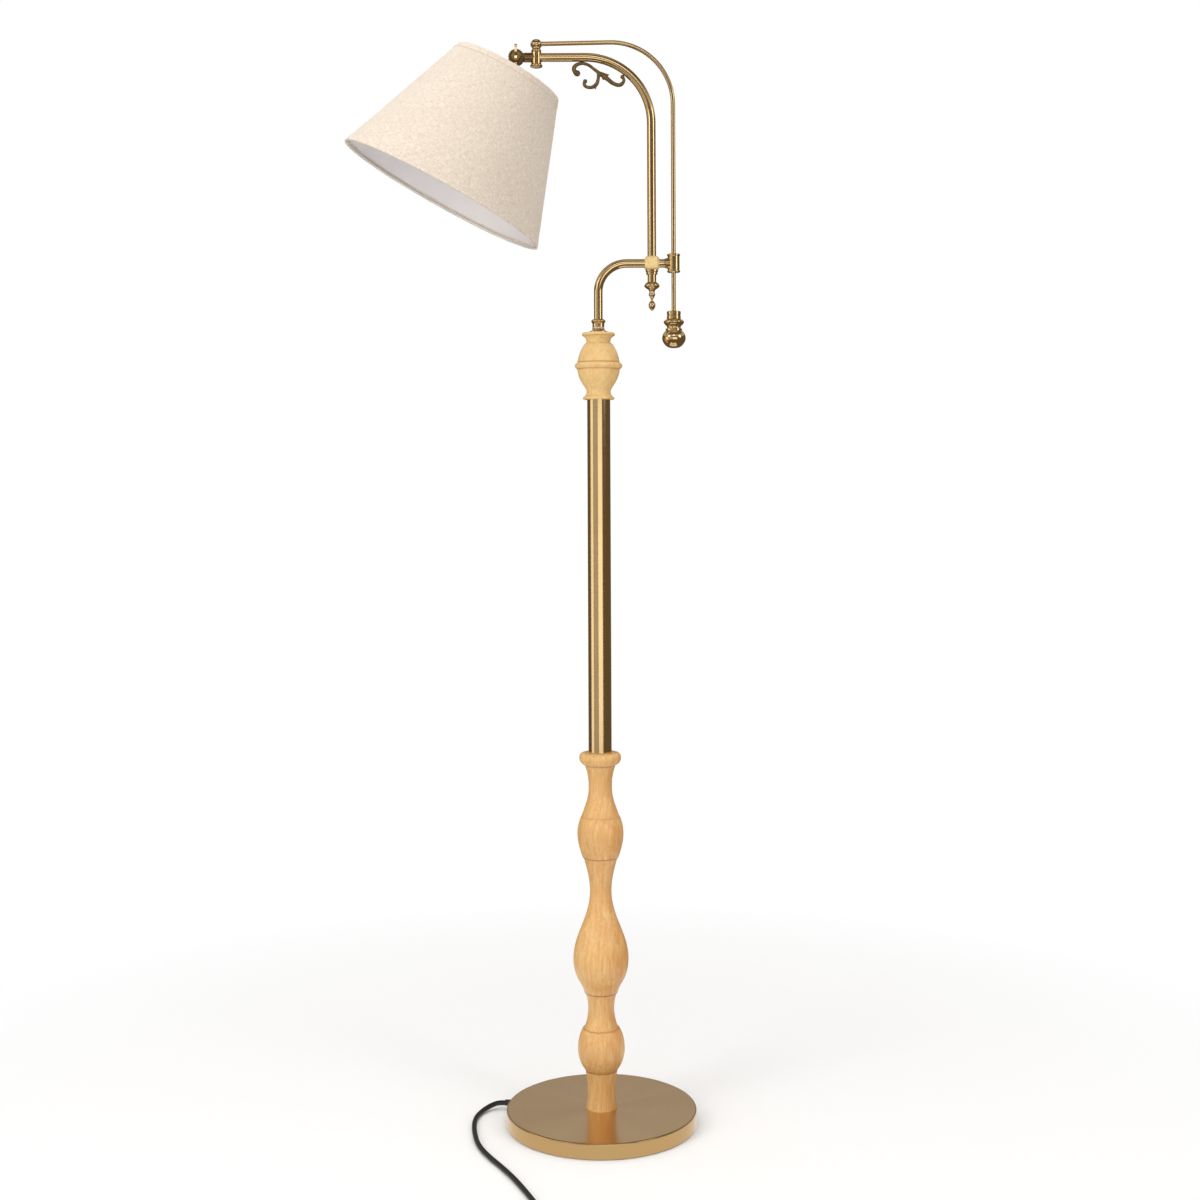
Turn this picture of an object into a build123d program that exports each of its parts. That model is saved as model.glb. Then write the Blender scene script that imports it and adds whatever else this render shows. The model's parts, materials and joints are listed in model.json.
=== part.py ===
"""Adjustable arm floor lamp: a weighted base, a turned wood column, a brass pole and a swivelling
bracket that carries a sliding, counterweighted arm with a tilting shade.

Millimetres. The origin is the centre of the base where it stands on the floor, +Z is up, +X points from
the column to the arm's upright tubes, and the shade hangs towards -X. Every piece that moves stands in
its rest position: the arm near the top of its slide and the shade tipped TILT degrees from straight down.
"""

import os
from math import cos, pi, radians, sin, tan

from build123d import *

# ---------------------------------------------------------------- driving dimensions

GAP = 0.3                    # between pieces that move past each other
RUN_FIT = 0.05               # radial clearance of a shaft in its bush

# base
BASE_R = 140.0
BASE_TOP = 23.0
PAD_TOP = 2.0
PLATE_TOP = 3.2
SKIRT_BOTTOM = 1.0
COVER_WALL = 1.2
WEIGHT_R = 125.0
WEIGHT_FLOOR = 9.8           # underside of the weight's disc, above its rim
RECESS_TOP = 18.8            # ceiling of the recess that holds the pipe nut
RECESS_R = 21.0

# lamp pipe and internal lead
PIPE_R = 5.0
PIPE_BORE_R = 3.8
LEAD_R = 2.3

# column
COLUMN_TOP = 546.0
SEAM_LOW = 192.8
SEAM_HIGH = 392.0
WOOD_BORE_R = 5.3
POLE_R = 17.0
POLE_WALL = 1.5
POLE_TOP = 1066.6
BALL_TOP = 1165.2
PLUG_LENGTH = 20.0

# arm tubes
TUBE_R = 6.35
TUBE_WALL = 1.0
ROD_R = 3.2
BRACKET_Z = 1267.5
BRACKET_BEND = 41.8
BLOCK_X = 79.3
BLOCK_WIDTH = 21.0
BLOCK_HEIGHT = 20.0
BUSH_R = 7.2
SLEEVE_X = 111.4
SLEEVE_R = 8.75
SLEEVE_HEIGHT = 27.0
ARM_Z = 1572.0
ARM_FOOT = 1239.5
ARM_BEND = 97.4
ROD_FOOT = 1170.0
ROD_BEND = 91.5
ROD_CORNER_Z = 1595.6
HUB_X = -90.0
HUB_R = 7.5
HUB_BALL_Z = 1592.0
SOCKET_DEPTH = 2.3           # how far a tube end sits in the piece that holds it

# head, measured along the shade's axis from the knuckle's centre
KNUCKLE_X = -119.6
TILT = 28.6                  # of the shade's axis from straight down, at rest
EAR_R = 11.3
TONGUE_R = 10.8
TONGUE_HALF = 3.0
EAR_OUTER = 6.6
SPIDER_AT = 36.0
SPIDER_THICK = 1.6
SHADE_TOP_AT = 25.0
SHADE_BOTTOM_AT = 232.0
SHADE_TOP_R = 84.0
SHADE_BOTTOM_R = 160.5
COVER_THICK = 0.95
LINER_THICK = 0.8
TAPE_THICK = 0.5
TAPE_WIDTH = 8.0
RING_WIRE_R = 1.6
SWITCH_AT = 63.0

# cord
CORD_R = 3.6
CORD_EXIT_DEG = 160.0
CORD_EXIT_Z = 10.5
RELIEF_TIP = 154.0           # distance of the strain relief's tip from the column's axis
COIL_CENTRE = (-100.0, -356.0)
COIL_MIDDLE_R = 39.6
COIL_COLUMNS = 3
COIL_LAYERS = 2

# The cord's route: straight out through its strain relief, a short drop to the floor, a turn towards the
# front, then a loose run along the floor to its coil.
CORD_ROUTE = [
    (-128.4, 46.7, 10.5),
    (-151.6, 55.2, 10.5),
    (-166.1, 53.5, 8.0),
    (-178.3, 45.6, 5.0),
    (-185.7, 33.0, 3.7),
    (-187.3, 13.0, 3.6),
    (-185.4, -16.0, 3.6),
    (-181.2, -46.0, 3.6),
    (-172.6, -88.0, 3.6),
    (-156.2, -128.0, 3.6),
    (-136.4, -166.0, 3.6),
    (-118.0, -206.0, 3.6),
    (-100.6, -250.0, 3.6),
    (-83.0, -296.0, 3.6),
    (-60.0, -331.0, 3.6),
]
# The tail from the coil's upper turn down to the plug, which lies beside the coil.
TAIL_ROUTE = [
    (-100.0, -402.8, 10.8),
    (-116.0, -403.4, 10.4),
    (-132.0, -401.6, 8.4),
    (-147.0, -397.2, 7.2),
    (-160.0, -390.6, 7.2),
]

os.makedirs("parts", exist_ok=True)
pieces = []


def finish(builder, label):
    """Name a finished piece and write it."""
    builder.part.label = label
    export_step(builder.part, f"parts/{label}.step")
    pieces.append(builder.part)


def upright(x):
    """The plane that looks along +Y, with its origin on the floor at x."""
    return Plane(origin=(x, 0, 0), x_dir=(1, 0, 0), z_dir=(0, -1, 0))


def half_section(plane, sections, bore=0.0):
    """Half of a turned piece's section, in (radius, height): one smooth curve from crease to crease."""
    with BuildSketch(plane) as section:
        with BuildLine():
            for points in sections:
                if len(points) == 2:
                    Line(*points)
                else:
                    Spline(*points)
            start, end = sections[0][0], sections[-1][-1]
            Polyline(*dict.fromkeys([end, (bore, end[1]), (bore, start[1]), start]))
        make_face()
    return section.sketch


def half_polygon(plane, points):
    """Half of a turned piece's section with straight edges, in (radius, height)."""
    with BuildSketch(plane) as section:
        with BuildLine():
            Polyline(*points, close=True)
        make_face()
    return section.sketch


def bend_radii(route):
    """The radius of each corner of a cord: 0.45 of the shorter run, over the tangent of half the turn."""
    points = [Vector(*point) for point in route]
    radii = []
    for before, corner, after in zip(points, points[1:], points[2:]):
        half_turn = radians((corner - before).get_angle(after - corner)) / 2
        shorter = min((corner - before).length, (after - corner).length)
        radii.append(0.45 * shorter / tan(half_turn))
    return radii


def cord_path(route):
    """Straight runs joined by tangent arcs along a cord's route."""
    radii = bend_radii(route)
    print("cord radii, mm:", [round(radius, 1) for radius in radii])
    with BuildLine() as path:
        FilletPolyline(*route, radius=radii)
    return path.wire()


def report_tube(name, part, line, radius):
    """Print a tube's volume beside its section times its length."""
    print(f"{name}: length {line.length:.1f} mm, volume {part.volume:.0f},", end=" ")
    print(f"section x length {pi * radius**2 * line.length:.0f}")


# ---------------------------------------------------------------- base

cord_way = Vector(cos(radians(CORD_EXIT_DEG)), sin(radians(CORD_EXIT_DEG)), 0)
exit_plane = Plane(origin=cord_way * BASE_R + Vector(0, 0, CORD_EXIT_Z), z_dir=cord_way)
cord_side = Plane(origin=(0, 0, 0), x_dir=cord_way, z_dir=cord_way.cross(Vector(0, 0, 1)))
RELIEF_HOLE_R = 5.6
RELIEF_FLANGE = 136.6        # distance of the flange's inner face from the column's axis
EDGE_ROUND = 2.0

with BuildPart() as floor_pad:
    with BuildSketch():
        Circle(BASE_R - 5)
    extrude(amount=PAD_TOP)
    fillet(floor_pad.edges().group_by(Axis.Z)[0], 0.8)
finish(floor_pad, "floor_pad")

with BuildPart() as base_plate:
    with BuildSketch(Plane.XY.offset(PAD_TOP)):
        Circle(BASE_R - 3)
        with PolarLocations(WEIGHT_R - 9, 3, start_angle=30):
            Circle(2.2, mode=Mode.SUBTRACT)
    extrude(amount=PLATE_TOP - PAD_TOP)
finish(base_plate, "base_plate")

with BuildPart() as base_weight:
    with BuildSketch(Plane.XY.offset(PLATE_TOP)):
        Circle(WEIGHT_R)
        Circle(WEIGHT_R - 18, mode=Mode.SUBTRACT)
    extrude(amount=WEIGHT_FLOOR - PLATE_TOP)
    with BuildSketch(Plane.XY.offset(WEIGHT_FLOOR)):
        Circle(WEIGHT_R)
    extrude(amount=BASE_TOP - COVER_WALL - WEIGHT_FLOOR)
    with BuildSketch(Plane.XY.offset(PLATE_TOP)):
        Circle(RECESS_R)
    extrude(amount=RECESS_TOP - PLATE_TOP, mode=Mode.SUBTRACT)
    with BuildSketch(Plane.XY.offset(RECESS_TOP)):
        Circle(WOOD_BORE_R)
    extrude(amount=BASE_TOP - RECESS_TOP, mode=Mode.SUBTRACT)
    # channel for the lead, from the rim to the recess
    with BuildSketch(Plane(origin=(0, 0, PLATE_TOP), x_dir=cord_way, z_dir=(0, 0, 1))):
        with Locations((WEIGHT_R / 2, 0)):
            Rectangle(WEIGHT_R + 4, 9)
    extrude(amount=15, mode=Mode.SUBTRACT)
    # tapped holes for the plate screws
    with BuildSketch(Plane.XY.offset(PLATE_TOP)):
        with PolarLocations(WEIGHT_R - 9, 3, start_angle=30):
            Circle(2.0)
    extrude(amount=9, mode=Mode.SUBTRACT)
finish(base_weight, "base_weight")

with BuildPart() as plate_screws:
    with BuildSketch(Plane.XY.offset(PAD_TOP)):
        with PolarLocations(WEIGHT_R - 9, 3, start_angle=30):
            Circle(2.0)
    extrude(amount=9)
finish(plate_screws, "plate_screws")

with BuildPart() as base_cover:
    with BuildSketch(Plane.XY.offset(SKIRT_BOTTOM)):
        Circle(BASE_R)
    extrude(amount=BASE_TOP - SKIRT_BOTTOM)
    fillet(base_cover.edges().group_by(Axis.Z)[-1], EDGE_ROUND)
    with BuildSketch(Plane.XY.offset(SKIRT_BOTTOM)):
        Circle(BASE_R - COVER_WALL)
    extrude(amount=BASE_TOP - COVER_WALL - SKIRT_BOTTOM, mode=Mode.SUBTRACT)
    with BuildSketch(Plane.XY.offset(SKIRT_BOTTOM)):
        Circle(WOOD_BORE_R)
    extrude(amount=BASE_TOP, mode=Mode.SUBTRACT)
    with BuildSketch(exit_plane.offset(-8)):
        Circle(RELIEF_HOLE_R)
    extrude(amount=16, mode=Mode.SUBTRACT)
finish(base_cover, "base_cover")

with BuildPart() as pipe_washer:
    with BuildSketch(Plane.XY.offset(RECESS_TOP - 1.5)):
        Circle(16)
        Circle(PIPE_R, mode=Mode.SUBTRACT)
    extrude(amount=1.5)
finish(pipe_washer, "pipe_washer")

with BuildPart() as pipe_nut:
    with BuildSketch(Plane.XY.offset(RECESS_TOP - 6.5)):
        RegularPolygon(9.8, 6)
        Circle(PIPE_R, mode=Mode.SUBTRACT)
    extrude(amount=5)
finish(pipe_nut, "pipe_nut")

# The strain relief: a flange inside the skirt, a plug in its hole and a ribbed nose outside.
with BuildPart() as cord_strain_relief:
    relief_axis = Axis((0, 0, CORD_EXIT_Z), cord_way)
    nose = [
        (RELIEF_FLANGE, CORD_EXIT_Z + CORD_R),
        (RELIEF_FLANGE, CORD_EXIT_Z + 7.2),
        (BASE_R - COVER_WALL - 0.2, CORD_EXIT_Z + 7.2),
        (BASE_R - COVER_WALL - 0.2, CORD_EXIT_Z + RELIEF_HOLE_R - 0.05),
        (BASE_R + 1.0, CORD_EXIT_Z + RELIEF_HOLE_R - 0.05),
        (RELIEF_TIP, CORD_EXIT_Z + CORD_R + 0.7),
        (RELIEF_TIP, CORD_EXIT_Z + CORD_R),
    ]
    revolve(half_polygon(cord_side, nose), axis=relief_axis)
    for groove in range(3):
        with BuildSketch(exit_plane.offset(4.0 + 3.2 * groove)):
            Circle(8)
            Circle(CORD_R + 0.6, mode=Mode.SUBTRACT)
        extrude(amount=1.1, mode=Mode.SUBTRACT)
finish(cord_strain_relief, "cord_strain_relief")

# ---------------------------------------------------------------- cord and plug

with BuildPart() as power_cord:
    cord_line = cord_path(CORD_ROUTE)
    add(cord_line)
    with BuildSketch(Plane(origin=CORD_ROUTE[0], z_dir=cord_way)):
        Circle(CORD_R)
    sweep(path=cord_line)
report_tube("power_cord", power_cord.part, cord_line, CORD_R)
finish(power_cord, "power_cord")

with BuildPart() as power_cord_coil:
    half_band = CORD_R * COIL_COLUMNS
    with BuildSketch():
        with Locations(COIL_CENTRE):
            Circle(COIL_MIDDLE_R + half_band)
            Circle(COIL_MIDDLE_R - half_band, mode=Mode.SUBTRACT)
    extrude(amount=2 * CORD_R * COIL_LAYERS)
    fillet(power_cord_coil.edges(), 2.5)
finish(power_cord_coil, "power_cord_coil")

with BuildPart() as power_cord_tail:
    tail_line = cord_path(TAIL_ROUTE)
    add(tail_line)
    tail_way = Vector(*TAIL_ROUTE[1]) - Vector(*TAIL_ROUTE[0])
    with BuildSketch(Plane(origin=TAIL_ROUTE[0], z_dir=tail_way)):
        Circle(CORD_R)
    sweep(path=tail_line)
report_tube("power_cord_tail", power_cord_tail.part, tail_line, CORD_R)
finish(power_cord_tail, "power_cord_tail")

plug_end = Vector(*TAIL_ROUTE[-1])
plug_way = (plug_end - Vector(*TAIL_ROUTE[-2])).normalized()
plug_plane = Plane(origin=plug_end, x_dir=plug_way.cross(Vector(0, 0, 1)), z_dir=plug_way)
PLUG_NECK = 12.0
PLUG_BODY = 24.0
BLADE_SPACING = 12.7

with BuildPart() as plug_body:
    with BuildSketch(plug_plane):
        Circle(CORD_R + 0.6)
    with BuildSketch(plug_plane.offset(PLUG_NECK)):
        RectangleRounded(21, 11, 3.5)
    loft()
    with BuildSketch(plug_plane.offset(PLUG_NECK)):
        RectangleRounded(24, 14, 4)
    extrude(amount=PLUG_BODY)
    fillet(plug_body.faces().sort_by(Axis(plug_end, plug_way))[-1].edges(), 1.2)
    with BuildSketch(plug_plane.offset(PLUG_NECK + PLUG_BODY - 8)):
        with GridLocations(BLADE_SPACING, 0, 2, 1):
            Rectangle(1.5, 6.3)
    extrude(amount=8, mode=Mode.SUBTRACT)
finish(plug_body, "plug_body")

with BuildPart() as plug_blades:
    with BuildSketch(plug_plane.offset(PLUG_NECK + PLUG_BODY - 8)):
        with GridLocations(BLADE_SPACING, 0, 2, 1):
            Rectangle(1.5, 6.3)
    extrude(amount=8 + 16)
    chamfer(plug_blades.faces().group_by(Axis(plug_end, plug_way))[-1].edges(), 0.5)
finish(plug_blades, "plug_blades")

# ---------------------------------------------------------------- column

with BuildPart() as column_pipe:
    with BuildSketch(Plane.XY.offset(RECESS_TOP - 6.8)):
        Circle(PIPE_R)
        Circle(PIPE_BORE_R, mode=Mode.SUBTRACT)
    extrude(amount=COLUMN_TOP + PLUG_LENGTH - 4 - (RECESS_TOP - 6.8))
finish(column_pipe, "column_pipe")

# Each turning as (radius, height), one curve from crease to crease.
LOWER_TURNING = [
    [(23.0, BASE_TOP), (20.5, 45.0), (23.7, 78.4)],
    [(22.9, 78.6), (30.2, 89.5), (34.6, 111.0), (31.2, 130.8), (27.2, 139.8)],
    [(25.2, 140.4), (20.7, 154.4), (19.2, 169.5), (20.7, 183.9), (23.6, SEAM_LOW)],
]
MIDDLE_TURNING = [
    [(24.6, SEAM_LOW), (27.4, 201.0), (34.2, 213.4), (40.6, 240.0), (36.2, 270.0), (27.8, 292.4),
     (18.6, 319.7), (15.85, 343.3), (18.6, 367.0), (25.2, SEAM_HIGH)],
]
UPPER_TURNING = [
    [(26.4, SEAM_HIGH), (29.9, 402.4), (33.9, 424.0), (31.6, 443.7), (28.5, 452.0)],
    [(27.9, 452.4), (22.6, 467.3), (17.8, 485.0), (17.1, 497.0), (18.8, 514.5), (22.7, 527.5)],
    [(22.9, 527.9), (28.6, 532.0), (30.8, 538.5), (29.4, 543.6), (26.0, COLUMN_TOP)],
]


def joined(sections):
    """The sections with a short straight edge between each pair, so that every crease is a real step."""
    chain = [sections[0]]
    for section in sections[1:]:
        if section[0] != chain[-1][-1]:
            chain.append([chain[-1][-1], section[0]])
        chain.append(section)
    return chain


for label, turning in (
    ("wood_lower", LOWER_TURNING),
    ("wood_middle", MIDDLE_TURNING),
    ("wood_upper", UPPER_TURNING),
):
    with BuildPart() as wood:
        revolve(half_section(Plane.XZ, joined(turning), WOOD_BORE_R), axis=Axis.Z)
    finish(wood, label)

with BuildPart() as pole_tube:
    with BuildSketch(Plane.XY.offset(COLUMN_TOP)):
        Circle(POLE_R)
        Circle(POLE_R - POLE_WALL, mode=Mode.SUBTRACT)
    extrude(amount=POLE_TOP - COLUMN_TOP)
finish(pole_tube, "pole_tube")

# The same tapped plug closes both ends of the pole.
with BuildPart() as pole_plugs:
    for bottom in (COLUMN_TOP, POLE_TOP - PLUG_LENGTH):
        with BuildSketch(Plane.XY.offset(bottom)):
            Circle(POLE_R - POLE_WALL)
            Circle(PIPE_R, mode=Mode.SUBTRACT)
        extrude(amount=PLUG_LENGTH)
finish(pole_plugs, "pole_plugs")

SEAT_PIPE_TOP = 1171.0
with BuildPart() as ball_pipe:
    with BuildSketch(Plane.XY.offset(POLE_TOP - PLUG_LENGTH + 3)):
        Circle(PIPE_R)
        Circle(PIPE_BORE_R, mode=Mode.SUBTRACT)
    extrude(amount=SEAT_PIPE_TOP - (POLE_TOP - PLUG_LENGTH + 3))
finish(ball_pipe, "ball_pipe")

BALL_TURNING = [
    [(21.8, POLE_TOP), (23.5, 1068.4), (22.2, 1070.6)],
    [(21.8, 1070.8), (18.0, 1080.0), (22.8, 1088.6), (28.4, 1099.0), (31.2, 1111.4)],
    [(31.8, 1111.6), (35.2, 1116.5), (31.8, 1121.4)],
    [(31.2, 1121.6), (28.6, 1133.0), (25.0, 1141.4), (20.6, 1148.8)],
    [(19.9, 1149.0), (17.7, 1153.2), (20.2, 1158.4), (23.8, 1160.8)],
    [(24.1, 1161.4), (24.3, 1163.2), (23.2, BALL_TOP)],
]
with BuildPart() as wood_ball:
    revolve(half_section(Plane.XZ, joined(BALL_TURNING), WOOD_BORE_R), axis=Axis.Z)
finish(wood_ball, "wood_ball")

# ---------------------------------------------------------------- swivel

SPINDLE_R = 4.0
SPINDLE_BORE_R = 2.8
SEAT_TOP = 1172.0
COLLAR_BOTTOM = SEAT_TOP + GAP + 1.0
BRACKET_FOOT = 1177.0
SPINDLE_TOP = 1190.0

with BuildPart() as swivel_seat:
    flare = [[(13.5, BALL_TOP), (13.5, 1167.2)], [(13.5, 1167.2), (10.2, 1168.8), (8.75, SEAT_TOP)]]
    revolve(half_section(Plane.XZ, flare), axis=Axis.Z)
    with BuildSketch(Plane.XY.offset(SEAT_TOP)):
        Circle(SPINDLE_R)
    extrude(amount=SPINDLE_TOP - SEAT_TOP)
    with BuildSketch(Plane.XY.offset(BALL_TOP)):
        Circle(PIPE_R)
    extrude(amount=SEAT_PIPE_TOP - BALL_TOP, mode=Mode.SUBTRACT)
    with BuildSketch(Plane.XY.offset(BALL_TOP)):
        Circle(SPINDLE_BORE_R)
    extrude(amount=SPINDLE_TOP - BALL_TOP, mode=Mode.SUBTRACT)
finish(swivel_seat, "swivel_seat")

with BuildPart() as spindle_nut:
    with BuildSketch(Plane.XY.offset(BRACKET_FOOT + GAP)):
        Circle(TUBE_R - TUBE_WALL - 0.35)
        Circle(SPINDLE_R, mode=Mode.SUBTRACT)
    extrude(amount=3.5)
finish(spindle_nut, "spindle_nut")

with BuildPart() as swivel_washer:
    with BuildSketch(Plane.XY.offset(SEAT_TOP + GAP)):
        Circle(8.75)
        Circle(SPINDLE_R + RUN_FIT, mode=Mode.SUBTRACT)
    extrude(amount=COLLAR_BOTTOM - SEAT_TOP - GAP)
finish(swivel_washer, "swivel_washer")

with BuildPart() as swivel_collar:
    collar = [
        [(8.75, COLLAR_BOTTOM), (8.75, 1178.6)],
        [(8.75, 1178.6), (9.4, 1179.8), (10.5, 1182.0), (9.6, 1184.2), (8.4, 1185.0)],
    ]
    revolve(half_section(Plane.XZ, collar), axis=Axis.Z)
    with BuildSketch(Plane.XY.offset(COLLAR_BOTTOM)):
        Circle(SPINDLE_R + RUN_FIT)
    extrude(amount=BRACKET_FOOT - COLLAR_BOTTOM, mode=Mode.SUBTRACT)
    with BuildSketch(Plane.XY.offset(BRACKET_FOOT)):
        Circle(TUBE_R)
    extrude(amount=10, mode=Mode.SUBTRACT)
finish(swivel_collar, "swivel_collar")

with BuildPart() as column_lead:
    lead_run = [
        tuple(cord_way * RELIEF_FLANGE + Vector(0, 0, CORD_EXIT_Z)),
        tuple(cord_way * 116 + Vector(0, 0, CORD_EXIT_Z)),
        tuple(cord_way * 92 + Vector(0, 0, 7.5)),
        (0, 0, 7.5),
        (0, 0, SPINDLE_TOP + 2),
    ]
    with BuildLine() as lead_line:
        FilletPolyline(*lead_run, radius=[60, 60, 8])
    with BuildSketch(Plane(origin=lead_run[0], z_dir=-cord_way)):
        Circle(LEAD_R)
    sweep(path=lead_line.wire())
finish(column_lead, "column_lead")

# ---------------------------------------------------------------- bracket

block_left = BLOCK_X - BLOCK_WIDTH / 2
block_right = BLOCK_X + BLOCK_WIDTH / 2
block_bottom = BRACKET_Z - BLOCK_HEIGHT / 2

with BuildPart() as bracket_tube:
    with BuildLine() as bracket_line:
        FilletPolyline(
            (0, 0, BRACKET_FOOT),
            (0, 0, BRACKET_Z),
            (block_left + SOCKET_DEPTH, 0, BRACKET_Z),
            radius=BRACKET_BEND,
        )
    with BuildSketch(Plane.XY.offset(BRACKET_FOOT)):
        Circle(TUBE_R)
        Circle(TUBE_R - TUBE_WALL, mode=Mode.SUBTRACT)
    sweep(path=bracket_line.wire())
finish(bracket_tube, "bracket_tube")

with BuildPart() as bracket_lead:
    with BuildLine() as bracket_lead_line:
        FilletPolyline(
            (0, 0, SPINDLE_TOP + 8),
            (0, 0, BRACKET_Z),
            (block_left - 2, 0, BRACKET_Z),
            radius=BRACKET_BEND,
        )
    with BuildSketch(Plane.XY.offset(SPINDLE_TOP + 8)):
        Circle(LEAD_R)
    sweep(path=bracket_lead_line.wire())
finish(bracket_lead, "bracket_lead")

with BuildPart() as cross_block:
    with Locations((BLOCK_X, 0, BRACKET_Z)):
        Box(BLOCK_WIDTH, BLOCK_WIDTH, BLOCK_HEIGHT)
    chamfer(cross_block.edges(), 2.8)
    with BuildSketch(Plane.XY.offset(block_bottom)):
        with Locations((BLOCK_X, 0)):
            Circle(BUSH_R)
    extrude(amount=BLOCK_HEIGHT, mode=Mode.SUBTRACT)
    for x in (block_left, block_right - SOCKET_DEPTH):
        with BuildSketch(Plane(origin=(x, 0, BRACKET_Z), z_dir=(1, 0, 0))):
            Circle(TUBE_R)
        extrude(amount=SOCKET_DEPTH, mode=Mode.SUBTRACT)
    with BuildSketch(Plane(origin=(BLOCK_X, BUSH_R - 1, BRACKET_Z), z_dir=(0, 1, 0))):
        Circle(2.0)
    extrude(amount=BLOCK_WIDTH, mode=Mode.SUBTRACT)
finish(cross_block, "cross_block")

with BuildPart() as block_bush:
    with BuildSketch(Plane.XY.offset(block_bottom)):
        with Locations((BLOCK_X, 0)):
            Circle(BUSH_R)
            Circle(TUBE_R + RUN_FIT, mode=Mode.SUBTRACT)
    extrude(amount=BLOCK_HEIGHT)
finish(block_bush, "block_bush")

with BuildPart() as block_gland:
    gland = [
        (TUBE_R + GAP, 1251.0),
        (8.25, 1251.0),
        (8.25, 1254.2),
        (9.2, 1255.0),
        (9.2, block_bottom),
        (TUBE_R + GAP, block_bottom),
    ]
    revolve(half_polygon(upright(BLOCK_X), gland), axis=Axis((BLOCK_X, 0, 0), (0, 0, 1)))
finish(block_gland, "block_gland")

with BuildPart() as block_set_screw:
    with BuildSketch(Plane(origin=(BLOCK_X, BUSH_R, BRACKET_Z), z_dir=(0, 1, 0))):
        Circle(2.0)
    extrude(amount=BLOCK_WIDTH / 2 - BUSH_R + 0.4)
    with BuildSketch(Plane(origin=(BLOCK_X, BLOCK_WIDTH / 2 - 1.1, BRACKET_Z), z_dir=(0, 1, 0))):
        RegularPolygon(1.1, 6)
    extrude(amount=2, mode=Mode.SUBTRACT)
finish(block_set_screw, "block_set_screw")

with BuildPart() as guide_stub:
    stub_plane = Plane(origin=(0, 0, BRACKET_Z), x_dir=(0, 0, 1), z_dir=(0, 1, 0))
    trumpet = [
        [(TUBE_R, block_right - SOCKET_DEPTH), (TUBE_R, 95.0)],
        [(TUBE_R, 95.0), (6.9, 99.0), (8.3, 103.0), (9.0, 106.0)],
    ]
    revolve(half_section(stub_plane, trumpet), axis=Axis((0, 0, BRACKET_Z), (1, 0, 0)))
    with Locations((SLEEVE_X, 0, BRACKET_Z)):
        Cylinder(SLEEVE_R, 2 * SLEEVE_HEIGHT, mode=Mode.SUBTRACT)
finish(guide_stub, "guide_stub")

SLEEVE_BUSH_R = 4.5
sleeve_bottom = BRACKET_Z - SLEEVE_HEIGHT / 2
sleeve_top = BRACKET_Z + SLEEVE_HEIGHT / 2

with BuildPart() as guide_sleeve:
    sleeve = [
        (SLEEVE_BUSH_R, sleeve_bottom),
        (SLEEVE_R + 0.3, sleeve_bottom),
        (SLEEVE_R + 0.9, sleeve_bottom + 0.7),
        (SLEEVE_R + 0.9, sleeve_bottom + 2.2),
        (SLEEVE_R, sleeve_bottom + 3.2),
        (SLEEVE_R, sleeve_top - 3.2),
        (SLEEVE_R + 0.9, sleeve_top - 2.2),
        (SLEEVE_R + 0.9, sleeve_top - 0.7),
        (SLEEVE_R + 0.3, sleeve_top),
        (SLEEVE_BUSH_R, sleeve_top),
    ]
    revolve(half_polygon(upright(SLEEVE_X), sleeve), axis=Axis((SLEEVE_X, 0, 0), (0, 0, 1)))
finish(guide_sleeve, "guide_sleeve")

with BuildPart() as sleeve_bush:
    with BuildSketch(Plane.XY.offset(sleeve_bottom)):
        with Locations((SLEEVE_X, 0)):
            Circle(SLEEVE_BUSH_R)
            Circle(ROD_R + RUN_FIT, mode=Mode.SUBTRACT)
    extrude(amount=SLEEVE_HEIGHT)
finish(sleeve_bush, "sleeve_bush")

# ---------------------------------------------------------------- sliding arm

hub_face = HUB_X + HUB_R - SOCKET_DEPTH
rod_end = HUB_X + 6.0
rod_slope = (ROD_CORNER_Z - HUB_BALL_Z) / (SLEEVE_X - HUB_X)
rod_end_z = HUB_BALL_Z + rod_slope * (rod_end - HUB_X)

with BuildPart() as arm_tube:
    with BuildLine() as arm_line:
        FilletPolyline(
            (BLOCK_X, 0, ARM_FOOT), (BLOCK_X, 0, ARM_Z), (hub_face, 0, ARM_Z), radius=ARM_BEND
        )
    with BuildSketch(Plane.XY.offset(ARM_FOOT)):
        with Locations((BLOCK_X, 0)):
            Circle(TUBE_R)
            Circle(TUBE_R - TUBE_WALL, mode=Mode.SUBTRACT)
    sweep(path=arm_line.wire())
finish(arm_tube, "arm_tube")

with BuildPart() as arm_lead:
    lead_foot = BRACKET_Z + BLOCK_HEIGHT
    with BuildLine() as arm_lead_line:
        FilletPolyline(
            (BLOCK_X, 0, lead_foot), (BLOCK_X, 0, ARM_Z), (hub_face + 2, 0, ARM_Z), radius=ARM_BEND
        )
    with BuildSketch(Plane.XY.offset(lead_foot)):
        with Locations((BLOCK_X, 0)):
            Circle(LEAD_R)
    sweep(path=arm_lead_line.wire())
finish(arm_lead, "arm_lead")

with BuildPart() as balance_rod:
    with BuildLine() as rod_line:
        FilletPolyline(
            (SLEEVE_X, 0, ROD_FOOT), (SLEEVE_X, 0, ROD_CORNER_Z), (rod_end, 0, rod_end_z), radius=ROD_BEND
        )
    with BuildSketch(Plane.XY.offset(ROD_FOOT)):
        with Locations((SLEEVE_X, 0)):
            Circle(ROD_R)
    sweep(path=rod_line.wire())
finish(balance_rod, "balance_rod")

HUB_BOTTOM = 1562.0
hub_axis = Axis((HUB_X, 0, 0), (0, 0, 1))

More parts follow.
